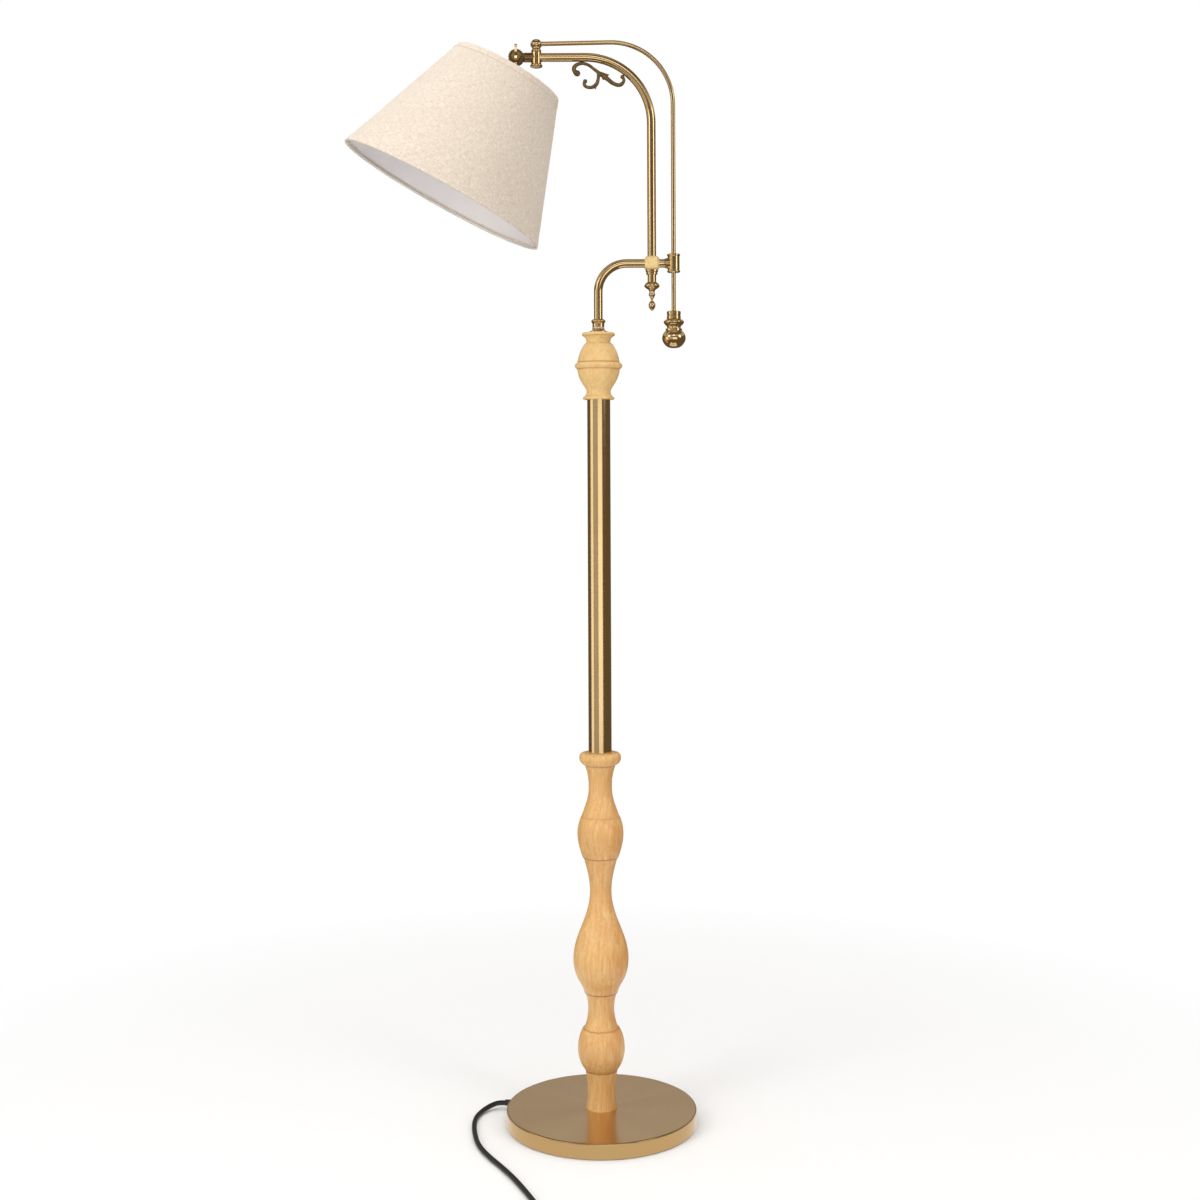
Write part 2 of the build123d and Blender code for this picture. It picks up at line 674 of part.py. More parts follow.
with BuildPart() as hub_post:
    post = [
        [(HUB_R, HUB_BOTTOM), (HUB_R, 1579.0)],
        [(HUB_R - 0.9, 1579.4), (HUB_R, 1581.6), (HUB_R - 0.9, 1583.8)],
        [(6.3, 1584.6), (6.2, 1585.8), (6.5, 1586.8)],
        [(6.9, 1587.2), (8.5, HUB_BALL_Z), (6.0, 1596.8), (0.0, 1598.6)],
    ]
    revolve(half_section(upright(HUB_X), joined(post)), axis=hub_axis)
    with BuildSketch(Plane(origin=(hub_face, 0, ARM_Z), z_dir=(1, 0, 0))):
        Circle(TUBE_R)
    extrude(amount=HUB_R, mode=Mode.SUBTRACT)
    with BuildSketch(Plane(origin=(rod_end, 0, rod_end_z), z_dir=(1, 0, rod_slope))):
        Circle(ROD_R)
    extrude(amount=HUB_R, mode=Mode.SUBTRACT)
finish(hub_post, "hub_post")

with BuildPart() as hub_cap:
    cap = [
        [(0.0, 1556.4), (4.5, 1556.6), (6.6, 1557.4)],
        [(8.4, 1557.8), (9.0, 1558.6), (9.0, 1560.4), (8.3, 1561.2)],
        [(7.0, 1561.4), (7.0, HUB_BOTTOM)],
    ]
    revolve(half_section(upright(HUB_X), joined(cap)), axis=hub_axis)
finish(hub_cap, "hub_cap")

# The ornament: cut from plate, three tapering scrolls that spring from a leaf.
ORNAMENT_THICK = 5.0
LEFT_SCROLL = [(-32.1, 1548.1), (-34.4, 1556.0), (-27.5, 1562.2), (-15.5, 1561.6), (-4.5, 1554.2), (6.0, 1546.0)]
RIGHT_SCROLL = [(4.3, 1548.1), (14.5, 1540.2), (25.0, 1532.6), (33.6, 1531.2), (39.0, 1536.8), (38.4, 1542.2)]
LOWER_SCROLL = [(1.6, 1549.1), (1.2, 1540.0), (-2.2, 1531.4), (-11.0, 1527.4), (-19.0, 1531.0), (-18.9, 1536.8)]
# each scroll's line, and the width of its stroke
SCROLLS = [(LEFT_SCROLL, 5.2), (RIGHT_SCROLL, 5.4), (LOWER_SCROLL, 5.0)]
CURL_ENDS = [(-29.8, 1548.4, 4.8), (37.0, 1542.8, 3.2), (-18.0, 1536.6, 3.3)]
LEAF_TIPS = [
    [(4.0, 1551.0), (17.8, 1546.3), (12.0, 1541.0)],
    [(3.6, 1547.0), (8.6, 1537.8), (14.0, 1542.0)],
    [(3.6, 1537.6), (-3.2, 1523.8), (-5.6, 1529.6)],
]

with BuildPart() as scroll_ornament:
    with BuildSketch(Plane.XZ):
        for scroll, width in SCROLLS:
            with BuildLine() as stroke:
                Spline(*scroll)
            trace(stroke.line, line_width=width)
        for x, z, radius in CURL_ENDS:
            with Locations((x, z)):
                Circle(radius)
        for tip in LEAF_TIPS:
            with BuildLine():
                Polyline(*tip, close=True)
            make_face()
    extrude(amount=ORNAMENT_THICK / 2, both=True)
finish(scroll_ornament, "scroll_ornament")

with BuildPart() as arm_finial:
    finial = [
        [(0.0, 1197.0), (2.6, 1199.4), (5.1, 1205.4), (4.2, 1209.4), (1.8, 1211.8)],
        [(1.75, 1212.4), (1.75, 1215.4)],
        [(2.9, 1216.4), (3.1, 1218.2)],
        [(4.2, 1219.2), (4.8, 1221.4), (4.2, 1223.6)],
        [(3.9, 1225.0), (4.4, 1227.0), (7.0, 1229.6)],
        [(9.6, 1231.4), (11.2, 1234.4), (9.8, 1237.4), (7.2, ARM_FOOT)],
        [(TUBE_R - TUBE_WALL, ARM_FOOT), (TUBE_R - TUBE_WALL, ARM_FOOT + 9)],
    ]
    revolve(half_section(upright(BLOCK_X), joined(finial)), axis=Axis((BLOCK_X, 0, 0), (0, 0, 1)))
finish(arm_finial, "arm_finial")

COUNTER_TOP = 1184.6
rod_axis = Axis((SLEEVE_X, 0, 0), (0, 0, 1))

with BuildPart() as counterweight_collar:
    ring = [
        (ROD_R, COUNTER_TOP),
        (9.6, COUNTER_TOP),
        (10.2, 1185.2),
        (10.2, 1189.6),
        (9.5, 1190.2),
        (9.5, 1190.8),
        (10.2, 1191.4),
        (10.2, 1195.9),
        (9.4, 1196.7),
        (ROD_R, 1196.7),
    ]
    revolve(half_polygon(upright(SLEEVE_X), ring), axis=rod_axis)
finish(counterweight_collar, "counterweight_collar")

with BuildPart() as counterweight:
    weight = [
        [(0.0, 1143.0), (7.5, 1143.2), (13.4, 1147.4), (17.3, 1156.0), (15.4, 1164.0), (12.2, 1167.8)],
        [(12.2, 1168.4), (12.2, 1170.6)],
        [(10.4, 1171.4), (10.1, 1173.2), (11.0, 1175.2)],
        [(11.0, 1175.2), (13.6, 1177.6), (15.0, 1180.8), (13.4, 1183.4), (10.2, COUNTER_TOP)],
    ]
    revolve(half_section(upright(SLEEVE_X), joined(weight)), axis=rod_axis)
    with BuildSketch(Plane.XY.offset(ROD_FOOT)):
        with Locations((SLEEVE_X, 0)):
            Circle(ROD_R)
    extrude(amount=COUNTER_TOP - ROD_FOOT, mode=Mode.SUBTRACT)
finish(counterweight, "counterweight")

# ---------------------------------------------------------------- knuckle

knuckle = Vector(KNUCKLE_X, 0, ARM_Z)
shade_way = Vector(-sin(radians(TILT)), 0, -cos(radians(TILT)))
across = Vector(-cos(radians(TILT)), 0, sin(radians(TILT)))
# Across the shade's axis, and a section through it with (radius, distance along the axis).
head = Plane(origin=knuckle, x_dir=across, z_dir=shade_way)
head_section = Plane(origin=knuckle, x_dir=across, z_dir=(0, -1, 0))
head_axis = Axis(knuckle, shade_way)
SCREW_R = 3.0
TONGUE_NECK_X = KNUCKLE_X + EAR_R + 1.3

with BuildPart() as knuckle_tongue:
    # round shank from the hub to the fork, shaped to the post
    with BuildSketch(Plane(origin=(HUB_X, 0, ARM_Z), z_dir=(-1, 0, 0))):
        Circle(7.0)
    extrude(amount=HUB_X - TONGUE_NECK_X)
    with Locations((HUB_X, 0, ARM_Z)):
        Cylinder(HUB_R, 4 * HUB_R, mode=Mode.SUBTRACT)
    with BuildSketch(Plane.XZ.offset(-TONGUE_HALF)):
        with Locations((KNUCKLE_X, ARM_Z)):
            Circle(TONGUE_R)
        with Locations(((KNUCKLE_X + TONGUE_NECK_X) / 2, ARM_Z)):
            Rectangle(TONGUE_NECK_X - KNUCKLE_X, 12.4)
    extrude(amount=2 * TONGUE_HALF)
    with BuildSketch(Plane.XZ.offset(-TONGUE_HALF)):
        with Locations((KNUCKLE_X, ARM_Z)):
            Circle(SCREW_R + 0.1)
    extrude(amount=2 * TONGUE_HALF, mode=Mode.SUBTRACT)
finish(knuckle_tongue, "knuckle_tongue")

CLEVIS_END = 17.0
NECK_END = 22.0
STEM_START = 14.0
STEM_END = 48.0

with BuildPart() as knuckle_clevis:
    with BuildSketch(head_section):
        Circle(EAR_R)
        with Locations((0, CLEVIS_END / 2)):
            Rectangle(15, CLEVIS_END)
    extrude(amount=EAR_OUTER, both=True)
    # slot for the tongue
    with BuildSketch(head_section):
        with Locations((0, 0)):
            Rectangle(4 * EAR_R, 2 * EAR_R)
    extrude(amount=TONGUE_HALF + GAP, both=True, mode=Mode.SUBTRACT)
    with BuildSketch(head.offset(CLEVIS_END)):
        Circle(6.6)
    with BuildSketch(head.offset(NECK_END)):
        Circle(7.4)
    loft()
    with BuildSketch(head_section):
        Circle(SCREW_R + RUN_FIT)
    extrude(amount=EAR_OUTER, both=True, mode=Mode.SUBTRACT)
    with BuildSketch(head.offset(STEM_START)):
        Circle(PIPE_R)
    extrude(amount=NECK_END - STEM_START, mode=Mode.SUBTRACT)
finish(knuckle_clevis, "knuckle_clevis")

# The thumb screw: a shaft through both ears, a six-sided boss and two upright wings.
BOSS_FACE = EAR_OUTER + GAP
WING_SPAN = 16.6
with BuildPart() as thumb_screw:
    with BuildSketch(Plane.XZ.offset(-EAR_OUTER)):
        with Locations((KNUCKLE_X, ARM_Z)):
            Circle(SCREW_R)
    extrude(amount=EAR_OUTER + BOSS_FACE)
    with BuildSketch(Plane.XZ.offset(BOSS_FACE)):
        with Locations((KNUCKLE_X, ARM_Z)):
            RegularPolygon(7.9, 6)
    extrude(amount=3.6, taper=12)
    with BuildSketch(Plane(origin=(KNUCKLE_X, 0, ARM_Z), x_dir=(0, -1, 0), z_dir=(1, 0, 0))):
        with BuildLine():
            wing_root = BOSS_FACE + 2.0
            Line((wing_root, -5.0), (wing_root, 5.0))
            Spline((wing_root, 5.0), (wing_root + 2.2, 12.0), (wing_root + 4.6, WING_SPAN))
            Spline((wing_root + 4.6, WING_SPAN), (wing_root + 8.0, WING_SPAN - 1.4), (wing_root + 8.6, 12.0))
            Spline((wing_root + 8.6, 12.0), (wing_root + 6.2, 0.0), (wing_root + 8.6, -12.0))
            Spline((wing_root + 8.6, -12.0), (wing_root + 8.0, 1.4 - WING_SPAN), (wing_root + 4.6, -WING_SPAN))
            Spline((wing_root + 4.6, -WING_SPAN), (wing_root + 2.2, -12.0), (wing_root, -5.0))
        make_face()
    extrude(amount=1.8, both=True)
finish(thumb_screw, "thumb_screw")

# ---------------------------------------------------------------- socket

cup_top = SPIDER_AT + SPIDER_THICK
CUP_END = 57.0
SOCKET_R = 18.6

with BuildPart() as socket_stem:
    with BuildSketch(head.offset(STEM_START)):
        Circle(PIPE_R)
        Circle(3.5, mode=Mode.SUBTRACT)
    extrude(amount=STEM_END - STEM_START)
finish(socket_stem, "socket_stem")

with BuildPart() as shade_lock_nut:
    with BuildSketch(head.offset(SPIDER_AT - 4)):
        RegularPolygon(9.5, 6)
        Circle(PIPE_R, mode=Mode.SUBTRACT)
    extrude(amount=4)
finish(shade_lock_nut, "shade_lock_nut")

with BuildPart() as socket_cup:
    bell = [
        [(PIPE_R, cup_top), (10.5, cup_top)],
        [(10.5, cup_top), (15.2, cup_top + 2.4), (19.3, 46.0), (20.2, CUP_END)],
        [(20.2, CUP_END), (SOCKET_R, CUP_END)],
        [(SOCKET_R, CUP_END), (SOCKET_R, STEM_END)],
        [(SOCKET_R, STEM_END), (PIPE_R, 44.0)],
    ]
    revolve(half_section(head_section, bell, PIPE_R), axis=head_axis)
finish(socket_cup, "socket_cup")

SOCKET_CAVITY_AT = 68.0
SOCKET_END = 98.0
SHELL_R = 14.3
with BuildPart() as socket_body:
    with BuildSketch(head.offset(STEM_END)):
        Circle(SOCKET_R)
    extrude(amount=SOCKET_END - STEM_END)
    with BuildSketch(head.offset(SOCKET_CAVITY_AT)):
        Circle(SHELL_R)
    extrude(amount=SOCKET_END - SOCKET_CAVITY_AT, mode=Mode.SUBTRACT)
    fillet(socket_body.edges().group_by(Axis(knuckle, shade_way))[-1].sort_by(SortBy.LENGTH)[-1], 1.5)
    # bore for the switch shaft, towards the front
    with BuildSketch(Plane(origin=head.from_local_coords((0, -10, SWITCH_AT)), z_dir=(0, -1, 0))):
        Circle(2.1 + RUN_FIT)
    extrude(amount=SOCKET_R, mode=Mode.SUBTRACT)
finish(socket_body, "socket_body")

with BuildPart() as switch_knob:
    with BuildSketch(Plane(origin=head.from_local_coords((0, -10.5, SWITCH_AT)), z_dir=(0, -1, 0))):
        Circle(2.1)
    extrude(amount=13)
    with BuildSketch(Plane(origin=head.from_local_coords((0, -21, SWITCH_AT)), z_dir=(0, -1, 0))):
        Circle(4.6)
        with PolarLocations(4.6, 12):
            Circle(0.55)
    extrude(amount=11)
finish(switch_knob, "switch_knob")

BULB_BASE_R = 13.3
with BuildPart() as screw_shell:
    with BuildSketch(head.offset(SOCKET_CAVITY_AT)):
        Circle(SHELL_R)
        Circle(BULB_BASE_R, mode=Mode.SUBTRACT)
    extrude(amount=30)
finish(screw_shell, "screw_shell")

BULB_BASE_AT = 71.0
BULB_NECK_AT = 98.0
BULB_TIP_AT = 180.0
with BuildPart() as bulb_base:
    with BuildSketch(head.offset(BULB_BASE_AT)):
        Circle(BULB_BASE_R)
    extrude(amount=BULB_NECK_AT - BULB_BASE_AT)
    with BuildSketch(head.offset(BULB_BASE_AT - 2)):
        Circle(4.5)
    extrude(amount=2)
finish(bulb_base, "bulb_base")


def bulb_half(wall):
    """Half-section of the bulb's envelope, moved in by wall."""
    return [
        [(BULB_BASE_R - wall, BULB_NECK_AT + wall), (16.0 - wall, 108.0), (27.4 - wall, 130.0),
         (30.0 - wall, 150.0), (22.0 - wall, 171.6 - wall / 2), (0.0, BULB_TIP_AT - wall)],
    ]


GLASS_WALL = 0.9
with BuildPart() as bulb_glass:
    revolve(half_section(head_section, bulb_half(0.0)), axis=head_axis)
    revolve(half_section(head_section, bulb_half(GLASS_WALL)), axis=head_axis, mode=Mode.SUBTRACT)
finish(bulb_glass, "bulb_glass")

# ---------------------------------------------------------------- shade

flare_rate = (SHADE_BOTTOM_R - SHADE_TOP_R) / (SHADE_BOTTOM_AT - SHADE_TOP_AT)


def shade_radius(along, inset=0.0):
    """The shade's outer radius at a distance along its axis, less an inset."""
    return SHADE_TOP_R + flare_rate * (along - SHADE_TOP_AT) - inset


def shade_band(start, end, outer_inset, inner_inset):
    """Half-section of a band of the shade's wall between two distances along the axis."""
    return half_polygon(
        head_section,
        [
            (shade_radius(start, outer_inset), start),
            (shade_radius(end, outer_inset), end),
            (shade_radius(end, inner_inset), end),
            (shade_radius(start, inner_inset), start),
        ],
    )


lining_face = COVER_THICK + LINER_THICK
with BuildPart() as shade_cover:
    revolve(shade_band(SHADE_TOP_AT, SHADE_BOTTOM_AT, 0.0, COVER_THICK), axis=head_axis)
finish(shade_cover, "shade_cover")

with BuildPart() as shade_lining:
    revolve(shade_band(SHADE_TOP_AT, SHADE_BOTTOM_AT, COVER_THICK, lining_face), axis=head_axis)
finish(shade_lining, "shade_lining")

# Fabric tapes bind the cover at both of its rims.
with BuildPart() as shade_tapes:
    for start in (SHADE_TOP_AT, SHADE_BOTTOM_AT - TAPE_WIDTH):
        revolve(shade_band(start, start + TAPE_WIDTH, -TAPE_THICK, 0.0), axis=head_axis)
finish(shade_tapes, "shade_tapes")

# A ring wire touches the lining, so its centre stands off by its radius over the cosine of the flare.
wire_inset = lining_face + RING_WIRE_R * (1 + flare_rate**2) ** 0.5
top_ring_at = SHADE_TOP_AT + 2.4
bottom_ring_at = SHADE_BOTTOM_AT - 2.4
top_ring_r = shade_radius(top_ring_at, wire_inset)
bottom_ring_r = shade_radius(bottom_ring_at, wire_inset)

with BuildPart() as shade_spider:
    with BuildSketch(head.offset(SPIDER_AT)):
        Circle(16)
        Circle(PIPE_R, mode=Mode.SUBTRACT)
    extrude(amount=SPIDER_THICK)
    spoke_z = SPIDER_AT + SPIDER_THICK / 2
    for turn in (30, 150, 270):
        way = Vector(cos(radians(turn)), sin(radians(turn)), 0)
        corners = [way * 14 + Vector(0, 0, spoke_z), way * 64 + Vector(0, 0, spoke_z)]
        corners.append(way * top_ring_r + Vector(0, 0, top_ring_at))
        run = [head.from_local_coords(corner) for corner in corners]
        with BuildLine() as spoke:
            FilletPolyline(*run, radius=14)
        with BuildSketch(Plane(origin=run[0], z_dir=run[1] - run[0])):
            Circle(RING_WIRE_R)
        sweep(path=spoke.wire())
    with BuildSketch(head_section):
        with Locations((top_ring_r, top_ring_at)):
            Circle(RING_WIRE_R)
    revolve(axis=head_axis)
finish(shade_spider, "shade_spider")

with BuildPart() as shade_bottom_ring:
    with BuildSketch(head_section):
        with Locations((bottom_ring_r, bottom_ring_at)):
            Circle(RING_WIRE_R)
    revolve(axis=head_axis)
finish(shade_bottom_ring, "shade_bottom_ring")

print(len(pieces), "nodes")
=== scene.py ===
"""Looks of the adjustable arm floor lamp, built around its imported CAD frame.

All in metres and in the CAD's frame, but for the ornament's tables, which are in millimetres.
"""

import json
from math import cos, pi, radians, sin

import bpy
import bmesh
from mathutils import Matrix, Vector


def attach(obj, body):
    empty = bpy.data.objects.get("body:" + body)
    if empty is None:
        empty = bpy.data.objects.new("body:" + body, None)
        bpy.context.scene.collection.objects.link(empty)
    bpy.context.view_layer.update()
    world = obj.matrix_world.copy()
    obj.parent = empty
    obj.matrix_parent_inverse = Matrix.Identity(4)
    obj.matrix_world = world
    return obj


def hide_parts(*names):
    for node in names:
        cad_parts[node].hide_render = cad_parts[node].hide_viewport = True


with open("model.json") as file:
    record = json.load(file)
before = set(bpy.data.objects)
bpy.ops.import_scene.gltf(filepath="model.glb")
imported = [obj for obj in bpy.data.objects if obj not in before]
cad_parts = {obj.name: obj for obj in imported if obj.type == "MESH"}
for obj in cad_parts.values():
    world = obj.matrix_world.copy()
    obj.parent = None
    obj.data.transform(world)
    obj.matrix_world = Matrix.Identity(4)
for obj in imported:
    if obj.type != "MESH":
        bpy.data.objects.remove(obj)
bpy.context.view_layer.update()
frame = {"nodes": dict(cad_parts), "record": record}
nodes = frame["nodes"]
scene = bpy.context.scene

# ---------------------------------------------------------------- camera

CAMERA_AWAY, CAMERA_HEIGHT = 2.46, 0.941
CAMERA_ROLL = radians(0.24)
camera_data = bpy.data.cameras.new("camera")
camera_data.lens = 50
camera_data.sensor_width = 36
camera_data.shift_x = 0.0008
camera_data.shift_y = -0.096
camera_data.clip_end = 60
camera = bpy.data.objects.new("camera", camera_data)
camera.location = (0, -CAMERA_AWAY, CAMERA_HEIGHT)
camera.rotation_euler = (radians(90), CAMERA_ROLL, 0)
scene.collection.objects.link(camera)
scene.camera = camera

# the shade's hinge, and how far its axis leans from straight down
KNUCKLE = Vector((-0.1196, 0.0, 1.572))
TILT = radians(28.6)

# ---------------------------------------------------------------- helpers


class Graph:
    """A material with a principled shader, and short calls that add nodes to it."""

    def __init__(self, name, **sockets):
        self.material = bpy.data.materials.new(name)
        self.material.use_nodes = True
        self.tree = self.material.node_tree
        self.shader = self.tree.nodes["Principled BSDF"]
        for socket, value in sockets.items():
            self.shader.inputs[socket.replace("_", " ")].default_value = value

    def add(self, kind, inputs=None, output=0, **settings):
        node = self.tree.nodes.new("ShaderNode" + kind)
        for key, value in settings.items():
            setattr(node, key, value)
        for key, value in (inputs or {}).items():
            if isinstance(value, bpy.types.NodeSocket):
                self.tree.links.new(value, node.inputs[key])
            else:
                node.inputs[key].default_value = value
        return node.outputs[output]

    def to(self, socket, value):
        self.tree.links.new(value, self.shader.inputs[socket])

    def place(self):
        return self.add("TexCoord", output="Object")

    def scaled(self, vector, scale):
        return self.add("Mapping", {"Vector": vector, "Scale": scale})

    def noise(self, vector, scale, detail=3.0, roughness=0.55):
        """Noise with about so many features to the metre."""
        return self.add(
            "TexNoise",
            {"Vector": vector, "Scale": scale, "Detail": detail, "Roughness": roughness},
        )

    def math(self, operation, a, b=0.0, c=0.0):
        return self.add("Math", {0: a, 1: b, 2: c}, operation=operation)

    def span(self, value, low, high, to_low=0.0, to_high=1.0):
        """The value's place between low and high, put between the other two."""
        return self.add(
            "MapRange",
            {"Value": value, "From Min": low, "From Max": high,
             "To Min": to_low, "To Max": to_high},
        )

    def mix(self, factor, a, b):
        node = self.tree.nodes.new("ShaderNodeMix")
        node.data_type = "RGBA"
        for key, value in (("Factor_Float", factor), ("A_Color", a), ("B_Color", b)):
            socket = next(s for s in node.inputs if s.identifier == key)
            if isinstance(value, bpy.types.NodeSocket):
                self.tree.links.new(value, socket)
            else:
                socket.default_value = value
        return next(s for s in node.outputs if s.identifier == "Result_Color")

    def bump(self, height, strength, distance):
        normal = self.add("Bump", {"Height": height, "Strength": strength, "Distance": distance})
        self.to("Normal", normal)

    def around(self, vector):
        """A point's angle round Z, its distance from Z and its height, as three sockets."""
        split = self.tree.nodes.new("ShaderNodeSeparateXYZ")
        self.tree.links.new(vector, split.inputs[0])
        angle = self.math("ARCTAN2", split.outputs[1], split.outputs[0])
        square = self.math("MULTIPLY_ADD", split.outputs[1], split.outputs[1],
                           self.math("MULTIPLY", split.outputs[0], split.outputs[0]))
        return angle, self.math("SQRT", square), split.outputs[2]

    def vector(self, x, y, z):
        return self.add("CombineXYZ", {0: x, 1: y, 2: z})


def new_object(name, bm, material, smooth=True):
    mesh = bpy.data.meshes.new(name)
    bmesh.ops.recalc_face_normals(bm, faces=bm.faces)
    bm.to_mesh(mesh)
    bm.free()
    mesh.materials.append(material)
    for polygon in mesh.polygons:
        polygon.use_smooth = smooth
    obj = bpy.data.objects.new(name, mesh)
    scene.collection.objects.link(obj)
    return obj


def applied(obj):
    """The object with its modifiers applied, or a curve turned into a mesh."""
    bpy.context.view_layer.update()
    graph = bpy.context.evaluated_depsgraph_get()
    mesh = bpy.data.meshes.new_from_object(obj.evaluated_get(graph))
    mesh.transform(obj.matrix_world)
    made = bpy.data.objects.new(obj.name + "_mesh", mesh)
    scene.collection.objects.link(made)
    name = obj.name
    bpy.data.objects.remove(obj)
    made.name = name
    return made


# ---------------------------------------------------------------- materials


def brass(name, base, worn, roughness, streak_scale, metallic=1.0):
    """Lacquered brass: faint brush lines along or round the piece, and a slight cloudiness.

    The streaks' scale counts them to the metre along X, Y and Z.
    """
    g = Graph(name, Metallic=metallic)
    cloud = g.noise(g.place(), 9.0, 4.0)
    lines = g.noise(g.scaled(g.place(), streak_scale), 1.0, 3.0, 0.5)
    g.to("Base Color", g.mix(g.span(cloud, 0.3, 0.7), base, worn))
    g.to("Roughness", g.span(lines, 0.25, 0.75, *roughness))
    return g.material


SPUN_RINGS = 1500.0               # rings to the metre
RIM_SHADE_RADII = (0.1365, 0.1395)      # where the painted shade on the base's rim starts, and where it is full
RIM_SHADE_HEIGHTS = (0.030, 0.024)


def spun_brass():
    """Sheet brass spun on a lathe: fine rings round the axis, lacquered."""
    g = Graph("spun_brass_finish", Metallic=1.0, Anisotropic=0.4, Coat_Weight=0.25,
              Coat_Roughness=0.12)
    angle, radius, height = g.around(g.place())
    ring = g.noise(g.vector(g.math("MULTIPLY", angle, 1.6), g.math("MULTIPLY", radius, SPUN_RINGS),
                            g.math("MULTIPLY", height, SPUN_RINGS)), 1.0, 3.0, 0.6)
    broad = g.noise(g.vector(g.math("COSINE", angle), g.math("SINE", angle), 0.0), 1.3, 2.0)
    lacquer = g.mix(g.span(broad, 0.35, 0.65), (0.66, 0.46, 0.235, 1), (0.72, 0.51, 0.27, 1))
    # painted shade: the brass is darker round the base's rim
    rim = g.math("MULTIPLY", g.span(radius, *RIM_SHADE_RADII), g.span(height, *RIM_SHADE_HEIGHTS))
    g.to("Base Color", g.mix(rim, lacquer, (0.52, 0.345, 0.15, 1)))
    g.to("Roughness", g.span(ring, 0.3, 0.7, 0.17, 0.23))
    g.to("Tangent", g.add("Tangent", direction_type="RADIAL", axis="Z"))
    g.bump(ring, 0.03, 0.0001)
    return g.material


CREASE_CORE, CREASE_REACH = 0.0003, 0.0017    # half the width of a crease's painted shade where darkest, and in all
CREASE_SHADE_COLOUR = (0.30, 0.115, 0.032, 1)
# the turned creases' heights, and how dark the painted shade in each one is
COLUMN_CREASES = (
    (0.0785, 0.5), (0.1403, 0.3), (0.1928, 0.9), (0.392, 0.7), (0.4522, 0.2), (0.5277, 0.5),
)
BALL_CREASES = ((1.1115, 0.35), (1.1215, 0.6), (1.149, 0.2), (1.161, 0.3))
PITH_SHIFT = (0.035, 0.05, 0.0)               # from the rings' middle to the turning's axis
RING_SCALE, RING_WARP = 42.0, 0.02
# a redder wood tone, for heartwood and for the painted shade on the +X side
HEART_AND_SHADE_COLOUR = (0.63, 0.265, 0.065, 1)
HEART_SHADE_SIDE = (-0.004, 0.026)                  # painted shade: from which X and to which X there is more heartwood


def wood(name, pale, deep, dark, seed, ring_strength, heart_and_shade_share, creases):
    """Turned wood: rings about a pith that leans off the axis, long fibre and short pores.

    Painted shade darkens the turned creases at the given heights.
    """
    g = Graph(name, Coat_Weight=0.25, Coat_Roughness=0.3)
    place = g.add("Mapping", {"Vector": g.place(),
                              "Location": (0.013 * seed, 0.021 * seed, 0.37 * seed)})
    lean = g.add("Mapping", {"Vector": g.place(), "Location": PITH_SHIFT,
                             "Rotation": (0.05, -0.07, 0.3 * seed)})
    warp = g.noise(g.scaled(place, (14.0, 14.0, 2.4)), 1.0, 3.0)
    radius = g.around(lean)[1]
    height = g.around(g.place())[2]
    warped = g.vector(g.math("MULTIPLY_ADD", warp, RING_WARP, radius), 0.0, 0.0)
    rings = g.add("TexWave", {"Vector": warped, "Scale": RING_SCALE, "Distortion": 1.2,
                              "Detail": 2.0, "Detail Scale": 1.4},
                  output="Fac", wave_type="BANDS", bands_direction="X", wave_profile="SAW")
    fibre = g.noise(g.scaled(place, (420.0, 420.0, 12.0)), 1.0, 4.0, 0.6)
    broad = g.noise(g.scaled(place, (26.0, 26.0, 4.5)), 1.0, 3.0, 0.5)
    pores = g.noise(g.scaled(place, (900.0, 900.0, 75.0)), 1.0, 2.0, 0.5)
    tone = g.math("ADD", g.span(fibre, 0.3, 0.7, 0.0, 0.56),
                  g.math("ADD", g.span(broad, 0.3, 0.7, 0.0, 0.42),
                         g.math("MULTIPLY", rings, ring_strength)))
    colour = g.mix(tone, pale, deep)
    pore = g.span(pores, 0.63, 0.72, 0.0, 0.55)
    colour = g.mix(pore, colour, dark)
    # heartwood: redder patches at random, weighted to the +X side as painted shade there
    patch = g.noise(g.scaled(place, (85.0, 85.0, 30.0)), 1.0, 4.0, 0.6)
    side = g.add("SeparateXYZ", {0: g.place()})
    heart_and_shade = g.math("MULTIPLY", g.span(side, *HEART_SHADE_SIDE, 0.4, 1.0), g.span(patch, 0.34, 0.62))
    colour = g.mix(g.math("MULTIPLY", heart_and_shade, heart_and_shade_share), colour, HEART_AND_SHADE_COLOUR)
    # painted shade in the turned creases, darkest at each crease's middle
    shadow = 0.0
    for crease, depth in creases:
        gap = g.math("ABSOLUTE", g.math("SUBTRACT", height, crease))
        shadow = g.math("MAXIMUM", shadow, g.span(gap, CREASE_CORE, CREASE_REACH, depth, 0.0))
    g.to("Base Color", g.mix(shadow, colour, CREASE_SHADE_COLOUR))
    g.to("Roughness", g.span(fibre, 0.3, 0.7, 0.36, 0.5))
    g.bump(g.math("SUBTRACT", fibre, pore), 0.22, 0.0002)
    return g.material


CLOTH_RADIUS = 0.14               # turns an angle round the shade into a length
THREAD_PITCH = 0.0011
STREAKS_LONG, STREAKS_FINE = 110.0, 820.0


